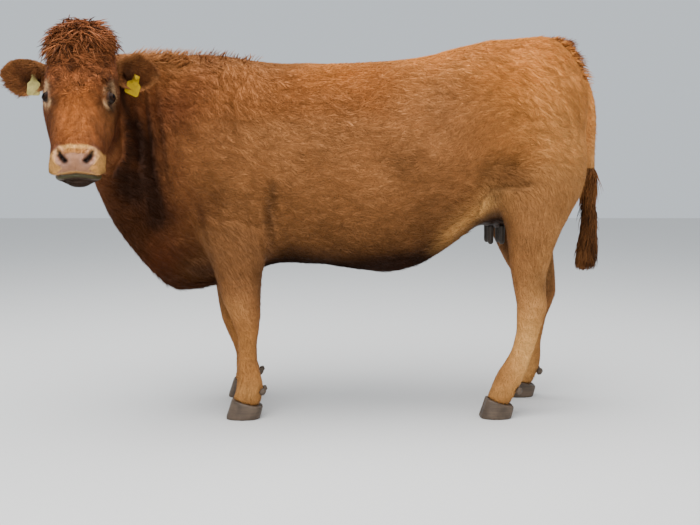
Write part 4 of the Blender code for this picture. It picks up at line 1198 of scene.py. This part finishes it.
LONG = shapes(6, ("bend", "wave", "turns", "hook"), (0.0, 0.7, 1.1, 0.8), (1.8, 0.8, 0.9, 0.9),
              (-1.8, -0.7, 1.0, 0.7), (0.8, -0.9, 1.4, 0.85))


def lock_set(name, rows):
    """A collection of lock shapes to pick from."""
    group = bpy.data.collections.new(name)
    for k, row in enumerate(rows):
        group.objects.link(lock(f"{name} {k}", **row))
    return group


class Weave(Nodes):
    """A short way to build a geometry node tree."""

    def __init__(self, name, inputs):
        self.tree = bpy.data.node_groups.new(name, "GeometryNodeTree")
        for label, kind in inputs.items():
            self.tree.interface.new_socket(name=label, in_out="INPUT", socket_type=f"NodeSocket{kind}")
        self.tree.interface.new_socket(name="Geometry", in_out="OUTPUT", socket_type="NodeSocketGeometry")
        self.given = dict(zip(inputs, self.tree.nodes.new("NodeGroupInput").outputs))
        self.result = self.tree.nodes.new("NodeGroupOutput").inputs[0]

    def times(self, a, b):
        return self.math("MULTIPLY", a, b)

    def between(self, low, high, seed):
        return self.add("FunctionNodeRandomValue", {"data_type": "FLOAT"}, i2=low, i3=high,
                        Seed=seed).outputs[1]

    def named(self, name, kind="FLOAT"):
        return self.add("GeometryNodeInputNamedAttribute", {"data_type": kind},
                        Name=name).outputs["Attribute"]

    def store(self, geometry, name, value, kind="FLOAT", domain="POINT"):
        return self.add("GeometryNodeStoreNamedAttribute", {"data_type": kind, "domain": domain},
                        Geometry=geometry, Name=name, Value=value).outputs[0]

    def swell(self, scale, detail=1.0):
        """Noise over the places, less its mean."""
        place = self.add("GeometryNodeInputPosition").outputs[0]
        fac = self.add("ShaderNodeTexNoise", Vector=place, Scale=scale, Detail=detail).outputs["Fac"]
        return self.math("SUBTRACT", fac, 0.5)


PATCH = 0.003                   # size of a lock's patch on the unwrap
HAIR_INPUTS = {"Geometry": "Geometry", "Locks": "Collection", "Density": "Float", "Seed": "Int",
               "Clump": "Float", "Stray": "Float", "Material": "Material"}
KEPT_ON_HAIR = ("markings", "along", "shade", "OFBake", "Lock", "position", "sharp_face", "material_index")
LEAST_HAIR = 100                # faces below which a piece of coat has failed
BODY_BANDS = (-9.0, -0.62, -0.36, -0.08, 0.22, 0.50, 9.0)    # where the body's coat is parted, in x aft
MID_BODY = 0.2                  # the legs' coat is parted here, in x aft
MID_FACE = 0.05                 # the head's coat is parted here, down the face


def hair_tree():
    """Locks of hair over a mesh, by the lie and the sizes kept on it."""
    w = Weave("hair", HAIR_INPUTS)
    given = w.given
    spread = w.add("GeometryNodeDistributePointsOnFaces", {"distribute_method": "RANDOM"},
                   Mesh=given["Geometry"], Density=w.times(w.named("hair_density"), given["Density"]),
                   Seed=given["Seed"])
    points, normal = spread.outputs["Points"], spread.outputs["Normal"]
    shade = w.math("ADD", w.times(w.swell(55.0), 1.8), w.between(0.25, 0.75, 11))
    points = w.store(points, "shade", shade)
    points = w.store(points, "root", w.add("GeometryNodeInputIndex").outputs[0], "INT")
    points = w.store(points, "root_uv", w.named("OFBake", "FLOAT_VECTOR"), "FLOAT2")
    drift = w.times(w.swell(38.0, 0.0), given["Clump"])
    stray = w.times(w.between(-1.0, 1.0, 12), given["Stray"])
    angle = w.math("ADD", w.times(drift, 4.0), stray)
    way = w.add("ShaderNodeVectorRotate", {"rotation_type": "AXIS_ANGLE"}, Axis=normal, Angle=angle,
                Vector=w.named("lie", "FLOAT_VECTOR")).outputs[0]
    turn = w.add("FunctionNodeAxesToRotation", {"primary_axis": "Z", "secondary_axis": "X"},
                 i0=way, i1=normal).outputs[0]
    length = w.times(w.named("hair_length"), w.between(0.72, 1.25, 13))
    lift = w.times(w.named("hair_lift"), w.between(0.55, 1.45, 14))
    width = w.times(w.named("hair_width"), w.between(0.65, 1.25, 15))
    scale = w.add("ShaderNodeCombineXYZ", i0=w.times(length, lift), i1=width, i2=length).outputs[0]
    group = w.add("GeometryNodeCollectionInfo", Collection=given["Locks"], Separate_Children=True,
                  Reset_Children=True).outputs[0]
    pick = w.add("FunctionNodeRandomValue", {"data_type": "INT"}, i4=0, i5=99, Seed=16).outputs[2]
    placed = w.add("GeometryNodeInstanceOnPoints", Points=points, Instance=group, Pick_Instance=True,
                   Instance_Index=pick, Rotation=turn, Scale=scale).outputs[0]
    whole = w.add("GeometryNodeRealizeInstances", Geometry=placed).outputs[0]
    patch = w.add("ShaderNodeVectorMath", {"operation": "SCALE"}, i0=w.named("Lock", "FLOAT_VECTOR"),
                  Scale=PATCH).outputs[0]
    place = w.add("ShaderNodeVectorMath", {"operation": "ADD"}, i0=w.named("root_uv", "FLOAT_VECTOR"),
                  i1=patch).outputs[0]
    whole = w.store(whole, "OFBake", place, "FLOAT2", "CORNER")
    whole = w.add("GeometryNodeSetMaterial", Geometry=whole, Material=given["Material"]).outputs[0]
    w.tree.links.new(whole, w.result)
    return w.tree


def weighted_area(mesh, chosen=...):
    """The chosen faces' area, counted by their hair's density."""
    areas = gather(mesh.polygons, "area")
    return float(np.sum((areas * face_values(mesh, "hair_density"))[chosen]))


def grow(name, ground, locks, material, count, clump, stray, seed):
    """Grow about count locks over a mesh and keep only the locks."""
    tree = bpy.data.node_groups.get("hair") or hair_tree()
    area = weighted_area(ground.data)
    if area <= 0.0:
        raise RuntimeError(f"no hair can grow on {name}")
    modifier = ground.modifiers.new("hair", "NODES")
    modifier.node_group = tree
    values = {"Locks": locks, "Density": count / area, "Seed": seed, "Clump": clump, "Stray": stray,
              "Material": material}
    for item in tree.interface.items_tree:
        if item.in_out == "INPUT" and item.name in values:
            modifier[item.identifier] = values[item.name]
    ground.name = name
    mesh = baked(ground).data
    drop_outside(mesh)
    mesh.name = name
    for layer in [a.name for a in mesh.attributes]:
        if layer not in KEPT_ON_HAIR and not layer.startswith("."):
            mesh.attributes.remove(mesh.attributes[layer])
    if len(mesh.polygons) < LEAST_HAIR:
        raise RuntimeError(f"{name} has too little hair")
    return ground


def drop_outside(mesh):
    """Take out each whole lock that reaches beyond the frame's box."""
    places = positions(mesh)
    roots = gather(mesh.attributes["root"].data, "value", kind=np.int32)
    low, high = np.array(CAD_BOX[0]), np.array(CAD_BOX[1])
    beyond = np.any((places < low) | (places > high), axis=1)
    gone = np.isin(roots, roots[beyond])
    if gone.any():
        bm = loaded(mesh)
        bm.verts.ensure_lookup_table()
        bmesh.ops.delete(bm, geom=[bm.verts[i] for i in np.flatnonzero(gone)], context="VERTS")
        unload(bm, mesh)


class Faces:
    """The skin's faces: where each lies, how far on the head and on a leg or the tail, and on which ear."""

    def __init__(self):
        self.skin = bpy.data.objects.get("skin")
        if self.skin is None:
            raise RuntimeError("the skin comes before its hair")
        mesh = self.skin.data
        centres = gather(mesh.polygons, "center", 3)
        self.body, self.local = to_body(centres), to_head(centres)
        self.head, self.leg = face_values(mesh, "on_head"), face_values(mesh, "on_leg")
        self.ear = face_values(mesh, "ear_side")

    def region(self, name, chosen):
        """A copy of the chosen faces."""
        bm = loaded(self.skin.data)
        bm.faces.ensure_lookup_table()
        bmesh.ops.delete(bm, geom=[bm.faces[i] for i in np.flatnonzero(~chosen)], context="FACES")
        return new_object(name, unload(bm, bpy.data.meshes.new(name)))

    def grow_bands(self, bands, name, locks, material, count, seed, **habit):
        """Grow a piece of coat on each band of faces, and share the locks between them by area."""
        mesh = self.skin.data
        total = weighted_area(mesh, np.any(bands, axis=0))
        for k, band in enumerate(bands):
            share = count * weighted_area(mesh, band) / total
            piece = grow(f"{name}_{k + 1}", self.region("band", band), locks, material, share, seed=seed + k,
                         **habit)
            finish_hair(piece)


def finish_hair(piece):
    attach(piece, "root")


def set_material(thing, material):
    thing.data.materials.clear()
    thing.data.materials.append(material)


def remeshed(name, node, size, rounds=3):
    """A finer, rounder copy of a CAD node."""
    thing = fused(finish_bmesh(name, merged_copy(node)), size)
    mesh = thing.data
    place_vertices(mesh, smoothed(positions(mesh), edge_ends(mesh), rounds))
    mesh.shade_smooth()
    return thing


# ---------------------------------------------------------------- operators
class COW_OT_skin(bpy.types.Operator):
    """The skin over the whole cow, with its lids, lips, folds and ears"""
    bl_idname = "cow.skin"
    bl_label = "Skin"

    def execute(self, context):
        skin = build_skin()
        set_material(skin, skin_material())
        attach(skin, "root")
        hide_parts(*FLESH, "ear_left", "ear_right")
        return {"FINISHED"}


class COW_OT_body_coat(bpy.types.Operator):
    """Hair on the trunk and the neck"""
    bl_idname = "cow.body_coat"
    bl_label = "Body coat"

    def execute(self, context):
        f = Faces()
        body, x = (f.head < 0.5) & (f.leg < 0.5) & (f.ear < 0.5), f.body[:, 0]
        bands = [body & (x >= low) & (x < high) for low, high in zip(BODY_BANDS, BODY_BANDS[1:])]
        material = hair_material("body hair", 0.24)
        f.grow_bands(bands, "body_coat", lock_set("short lock", FLAT), material,
                     context.scene.cow_coat.body_count, seed=20, clump=0.55, stray=0.16)
        return {"FINISHED"}


class COW_OT_leg_coat(bpy.types.Operator):
    """Hair on the legs and the tail"""
    bl_idname = "cow.leg_coat"
    bl_label = "Leg and tail coat"

    def execute(self, context):
        f = Faces()
        legs, hind = (f.head < 0.5) & (f.leg >= 0.5) & (f.ear < 0.5), f.body[:, 0] >= MID_BODY
        material = hair_material("leg hair", 0.16)
        f.grow_bands([legs & ~hind, legs & hind], "leg_coat", lock_set("leg lock", FLAT), material,
                     context.scene.cow_coat.leg_count, seed=40, clump=0.25, stray=0.12)
        return {"FINISHED"}


class COW_OT_head_coat(bpy.types.Operator):
    """Short hair on the head"""
    bl_idname = "cow.head_coat"
    bl_label = "Head coat"

    def execute(self, context):
        f = Faces()
        head, low = (f.head >= 0.5) & (f.ear < 0.5), f.local[:, 0] >= MID_FACE
        material = hair_material("face hair", 0.34)
        f.grow_bands([head & ~low, head & low], "head_coat", lock_set("face lock", FLAT), material,
                     context.scene.cow_coat.head_count, seed=50, clump=0.30, stray=0.14)
        return {"FINISHED"}


class COW_OT_curls(bpy.types.Operator):
    """Curls on the forehead, and the forelock that falls over them from the crown"""
    bl_idname = "cow.curls"
    bl_label = "Curls and forelock"

    def execute(self, context):
        coat = context.scene.cow_coat
        f = Faces()
        chosen = (f.head > 0.3) & (f.ear < 0.5) & (f.local[:, 0] < 0.08) & (f.local[:, 2] > -0.10)
        material = hair_material("curls", 0.85, root=0.30)
        down = np.array([1.0, 0.0, -0.1]) @ HEAD_TURN.T
        # share of curls at the front and at the crown, length, width, lift, swirl
        for name, locks, count, seed, shares, size, wide, rise, swirl in (
                ("forehead_curls", CURLS, coat.curl_count, 61, (1.0, 0.5), 0.82, 0.0037, 0.36, 1.1),
                ("forelock", FORELOCK, coat.forelock_count, 62, (0.0, 1.0), 1.70, 0.0054, 0.46, 0.8)):
            ground = f.region(name, chosen)
            mesh = ground.data
            places, normals = positions(mesh), vertex_normals(mesh)
            local = to_head(places)
            crown = np.maximum(blob(local, (-0.245, 0.0, 0.045), (0.070, 0.078, 0.080)),
                               0.8 * blob(local, (-0.190, 0.0, 0.090), (0.055, 0.065, 0.050)))
            front = blob(local, (-0.105, 0.0, 0.090), (0.118, 0.115, 0.080))
            short = ramp(local[:, 0], -0.140, 0.000)
            aside = ramp(np.abs(local[:, 1]), 0.050, 0.110)
            patchy = 0.75 + 0.6 * cloud(places, 22.0, 5.0)
            length = coat.curl_length * size * (1 + 0.25 * cloud(places, 30.0, 1.0))
            way = blend(attribute(mesh, "lie", 3), down, ramp(-local[:, 0], 0.13, 0.20)[:, None])
            set_hair(mesh, laid(way, normals, swirl * cloud(places, 18.0, 3.3)),
                     length=length * (1 - 0.52 * short) * (1 - 0.30 * aside), width=wide * (1 - 0.25 * short),
                     lift=rise * (1 - 0.35 * short) * (1 - 0.20 * aside),
                     density=clip((shares[0] * front + shares[1] * crown) * patchy - 0.10, None))
            finish_hair(grow(name, ground, lock_set(name, locks), material, count, clump=2.6, stray=0.10,
                             seed=seed))
        return {"FINISHED"}


class COW_OT_crest(bpy.types.Operator):
    """Longer upright locks on the crest, the withers and the tail head"""
    bl_idname = "cow.crest"
    bl_label = "Crest and tail-head locks"

    def execute(self, context):
        f = Faces()
        x, high = f.body[:, 0], f.body[:, 2] > 1.20
        ground = f.region("crest", (f.head < 0.6) & (f.ear < 0.5) & high & ((x < -0.25) | (x > 0.72)))
        mesh = ground.data
        places, normals = positions(mesh), vertex_normals(mesh)
        body = to_body(places)
        crest = blob(body, (-0.72, -0.09, 1.42), (0.085, 0.14, 0.16))
        crest += 0.22 * blob(body, (-0.50, -0.05, 1.42), (0.22, 0.14, 0.16))
        crest *= ramp(normals[:, 2], 0.35, 0.80)
        tail = blob(body, (0.86, 0.0, 1.42), (0.10, 0.045, 0.09))
        tail *= ramp(normals[:, 2] + normals[:, 0], 0.3, 0.8)
        tufts = 0.35 + 1.3 * clip(cloud(places, 26.0, 4.0))
        tilt = (0.9 + 0.5 * cloud(places, 24.0, 6.0))[:, None]
        set_hair(mesh, unit(attribute(mesh, "lie", 3) + normals * tilt), width=0.0040, lift=0.30,
                 length=0.036 + 0.014 * cloud(places, 30.0, 8.0),
                 density=clip(crest + tail * 2.8 - 0.08, None) * tufts)
        count = context.scene.cow_coat.crest_count
        finish_hair(grow("crest_locks", ground, lock_set("crest lock", SPIKES),
                         hair_material("crest hair", 0.35), count, clump=0.8, stray=0.4, seed=62))
        return {"FINISHED"}


def drape(mesh, hand, front):
    """Let the ear's long inner hair hang down over the top of its tag."""
    low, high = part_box(f"ear_tag_{hand}")
    place = np.array([(low.x + high.x) / 2, (low.y + high.y) / 2, high.z + 0.006])
    over = blob(positions(mesh), place, (0.028, 0.060, 0.020)) * front
    down = np.array([0.0, 0.0, -1.0]) + vertex_normals(mesh) * 0.65
    set_hair(mesh, unit(lerp(attribute(mesh, "lie", 3), down, clip(over * 2.0))),
             length=attribute(mesh, "hair_length") + 0.010 * over,
             density=attribute(mesh, "hair_density") * (1 + 7.0 * over))


class COW_OT_ear_hair(bpy.types.Operator):
    """Hair on the backs and rims of the ears, and the long hair inside them"""
    bl_idname = "cow.ear_hair"
    bl_label = "Ear hair"

    def execute(self, context):
        f = Faces()
        material = hair_material("ear hair", 0.40)
        locks = lock_set("ear lock", EAR_LOCKS)
        for k, hand in enumerate(HANDS):
            ground = f.region("ear", np.abs(f.ear - k - 1) < 0.4)
            mesh = ground.data
            along, across, front = attribute(mesh, "ear_place", 3).T
            rim = ramp(np.abs(across), 0.72, 0.95)
            inside = front * (1 - rim)
            length = 0.011 + 0.018 * inside + 0.008 * ramp(across, 0.10, 0.60) * front
            set_hair(mesh, length=length * (1 - 0.35 * ramp(along, 0.14, 0.21)),
                     width=0.0020 + 0.0005 * inside, lift=0.10 + 0.03 * rim + 0.16 * inside,
                     density=(along > 0.015) * (0.8 + 0.6 * rim + 0.2 * inside))
            drape(mesh, hand, front)
            count = context.scene.cow_coat.ear_count / len(HANDS)
            finish_hair(grow(f"ear_hair_{hand}", ground, locks, material, count, clump=0.5, stray=0.30,
                             seed=70 + k))
        return {"FINISHED"}


class COW_OT_switch(bpy.types.Operator):
    """The long hair at the end of the tail"""
    bl_idname = "cow.switch"
    bl_label = "Tail switch"

    def execute(self, context):
        coat, colours = context.scene.cow_coat, context.scene.cow_colours
        low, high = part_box("tail_switch")
        core = remeshed("switch_core", "tail_switch", SWITCH_VOXEL, 6)
        mesh = core.data
        places, normals = positions(mesh), vertex_normals(mesh)
        top = ramp(places[:, 2], high.z - 0.10, high.z - 0.03)
        places -= normals * (0.010 * (1 - top))[:, None]
        places[:, 2] += 0.018 * ramp(places[:, 2], high.z - 0.05, high.z)
        place_vertices(mesh, places)
        paint = Paint(len(places), colours.deep)
        shade = cloud(places * np.array([30.0, 30.0, 4.0]), 1.0, 2.0)
        paint.lay(colours.side, clip(0.22 + 0.20 * shade + 0.25 * top))
        store_colour(mesh, paint.colour)
        down = np.array([0.0, 0.0, -1.0])
        room = np.clip(places[:, 2] - low.z - 0.004, 0.02, coat.switch_length)
        set_hair(mesh, unit(laid(np.tile(down, (len(places), 1)), normals) + down * 1.1),
                 length=room * 0.78, width=0.0044, lift=0.020 / room,
                 density=(normals[:, 2] > -0.6) & (places[:, 2] > low.z + 0.02))
        store(mesh, "bare", np.zeros(len(places)))
        unwrap(core)
        ground = new_object("switch ground", mesh.copy())
        material = hair_material("switch hair", 0.80, roughness=0.42, root=0.50)
        piece = grow("switch_locks", ground, lock_set("switch lock", LONG), material, coat.switch_count,
                     clump=0.25, stray=0.12, seed=81)
        finish_hair(piece)
        set_material(core, skin_material())
        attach(core, "root")
        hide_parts("tail_switch")
        return {"FINISHED"}


class COW_OT_eyes(bpy.types.Operator):
    """Both eyeballs"""
    bl_idname = "cow.eyes"
    bl_label = "Eyes"

    def execute(self, context):
        s = Shade("eye", 0.04, Specular_IOR_Level=0.05)
        gaze = s.add("ShaderNodeSeparateXYZ", Vector=s.attribute("gaze", "Vector")).outputs

        def ellipse(wide, tall):
            squares = [s.math("POWER", s.math("DIVIDE", way, half), 2.0)
                       for way, half in zip(gaze, (wide, tall))]
            return s.math("ADD", *squares)

        pupil = s.ramp(ellipse(0.46, 0.25), (0.80, 0.0), (1.0, 1.0))
        ball = s.ramp(s.math("SQRT", ellipse(1.0, 1.0)), (0.62, IRIS), (0.76, IRIS_RIM), (0.86, SCLERA))
        material = s.link(Base_Color=s.mix(pupil, PUPIL, ball))
        for hand, side in zip(HANDS, SIDES):
            bm = bmesh.new()
            bmesh.ops.create_icosphere(bm, subdivisions=5, radius=EYE_RADIUS)
            thing = finish_bmesh(f"eyeball_{hand}", bm)
            own = positions(thing.data)
            axes = np.stack(eye_frame(side)[1:], axis=1)
            bulge = 1 + 0.035 * ramp(own[:, 2] / EYE_RADIUS, 0.72, 1.0)
            store(thing.data, "gaze", own / EYE_RADIUS, "FLOAT_VECTOR")
            place_vertices(thing.data, (own * bulge[:, None]) @ axes.T @ HEAD_TURN.T + np.array(EYES[hand]))
            set_material(thing, material)
            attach(thing, "root")
            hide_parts(f"eye_{hand}")
        return {"FINISHED"}


class COW_OT_claws(bpy.types.Operator):
    """Claws and dewclaws"""
    bl_idname = "cow.claws"
    bl_label = "Claws"

    def execute(self, context):
        s = Shade("horn", 0.5, Specular_IOR_Level=0.35)
        rings = s.noise(s.object_place((6, 6, 190)), 1.0)
        stains = s.ramp(s.noise(s.object_place(), 22.0, 4.0), (0.30, 0.60), (0.70, 1.30))
        base = s.times((*context.scene.cow_colours.horn, 1.0), stains)
        material = s.link(Base_Color=s.times(base, s.ramp(rings, (0.35, 0.80), (0.65, 1.12))),
                          Normal=s.bump(rings, 0.5, 0.002))
        for node in CLAWS:
            thing = remeshed(f"{node}_fine", node, CLAW_VOXEL if node.startswith("claw") else SMALL_VOXEL)
            places = positions(thing.data)
            places[:, 2] = np.maximum(places[:, 2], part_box(node)[0].z)
            place_vertices(thing.data, places)
            set_material(thing, material)
            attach(thing, "root")
            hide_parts(node)
        return {"FINISHED"}


class COW_OT_teats(bpy.types.Operator):
    """The four teats"""
    bl_idname = "cow.teats"
    bl_label = "Teats"

    def execute(self, context):
        s = Shade("teat skin", 0.5, Specular_IOR_Level=0.35)
        wrinkles = s.noise(s.object_place((60, 60, 220)), 1.0, 3.0)
        tone = s.ramp(wrinkles, (0.30, 0.8), (0.70, 1.3))
        material = s.link(Base_Color=s.times((*context.scene.cow_colours.bare, 1.0), tone),
                          Normal=s.bump(wrinkles, 0.5, 0.001))
        for node in TEATS:
            thing = remeshed(f"{node}_fine", node, SMALL_VOXEL)
            set_material(thing, material)
            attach(thing, "root")
            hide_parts(node)
        return {"FINISHED"}


class COW_OT_tags(bpy.types.Operator):
    """The two blank ear tags and their studs"""
    bl_idname = "cow.tags"
    bl_label = "Ear tags"

    def execute(self, context):
        colours = context.scene.cow_colours
        for hand, colour in (("left", colours.yellow), ("right", colours.cream)):
            s = Shade(f"tag {hand}", 0.42, Specular_IOR_Level=0.15)
            grime = s.ramp(s.noise(s.object_place(), 45.0, 5.0, 0.65), (0.32, 0.62), (0.62, 1.0))
            material = s.link(Base_Color=s.times((*colour, 1.0), grime),
                              Normal=s.bump(s.noise(s.object_place(), 160.0), 0.2, 0.0006))
            for node in (f"ear_tag_{hand}", f"ear_tag_stud_{hand}"):
                set_material(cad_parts[node], material)
        return {"FINISHED"}


class COW_OT_stage(bpy.types.Operator):
    """Floor, lights and camera"""
    bl_idname = "cow.stage"
    bl_label = "Stage"

    def execute(self, context):
        stage, scene = context.scene.cow_stage, context.scene
        bm = bmesh.new()
        bmesh.ops.create_grid(bm, x_segments=1, y_segments=1, size=FLOOR_HALF)
        floor = finish_bmesh("floor", bm)
        set_material(floor, Shade("floor", 0.85).link(Base_Color=(*scene.cow_colours.floor, 1.0)))
        world = bpy.data.worlds.new("sky")
        world.use_nodes = True
        background = world.node_tree.nodes["Background"].inputs
        background["Color"].default_value = SKY
        background["Strength"].default_value = stage.sky
        scene.world = world
        for name, (place, size) in LAMPS.items():
            light = bpy.data.lights.new(name, "AREA")
            light.shape, light.size, light.energy = "SQUARE", size, getattr(stage, name)
            lamp = new_object(name, light)
            lamp.location = REFERENCE + Vector(place)
            aim = REFERENCE + Vector(LIT_PLACE) - lamp.location
            lamp.rotation_euler = aim.to_track_quat("-Z", "Y").to_euler()
        camera = new_object("camera", bpy.data.cameras.new("camera"))
        camera.data.lens, camera.data.sensor_width = stage.lens, SENSOR_WIDTH
        camera.location = REFERENCE + Vector((0.0, -stage.distance, stage.height))
        camera.rotation_euler = (math.pi / 2 - stage.pitch, 0.0, 0.0)
        scene.camera = camera
        return {"FINISHED"}


class COW_PT_panel(bpy.types.Panel):
    bl_label = "Cow"
    bl_idname = "COW_PT_panel"
    bl_space_type = "VIEW_3D"
    bl_region_type = "UI"
    bl_category = "Cow"

    def draw(self, context):
        for operator in OPERATORS:
            self.layout.operator(operator.bl_idname)


OPERATORS = [COW_OT_skin, COW_OT_body_coat, COW_OT_leg_coat, COW_OT_head_coat, COW_OT_curls,
             COW_OT_crest, COW_OT_ear_hair, COW_OT_switch, COW_OT_eyes, COW_OT_claws, COW_OT_teats,
             COW_OT_tags, COW_OT_stage]
CLASSES = [CoatSettings, ColourSettings, StageSettings, *OPERATORS, COW_PT_panel]
SETTINGS = {"cow_coat": CoatSettings, "cow_colours": ColourSettings, "cow_stage": StageSettings}


def register():
    for item in CLASSES:
        bpy.utils.register_class(item)
    for name, group in SETTINGS.items():
        setattr(bpy.types.Scene, name, bpy.props.PointerProperty(type=group))


def unregister():
    for name in SETTINGS:
        delattr(bpy.types.Scene, name)
    for item in reversed(CLASSES):
        bpy.utils.unregister_class(item)


def main():
    register()
    bpy.ops.cow.skin()
    bpy.ops.cow.body_coat()
    bpy.ops.cow.leg_coat()
    bpy.ops.cow.head_coat()
    bpy.ops.cow.curls()
    bpy.ops.cow.crest()
    bpy.ops.cow.ear_hair()
    bpy.ops.cow.switch()
    bpy.ops.cow.eyes()
    bpy.ops.cow.claws()
    bpy.ops.cow.teats()
    bpy.ops.cow.tags()
    bpy.ops.cow.stage()


if __name__ == "__main__":
    main()
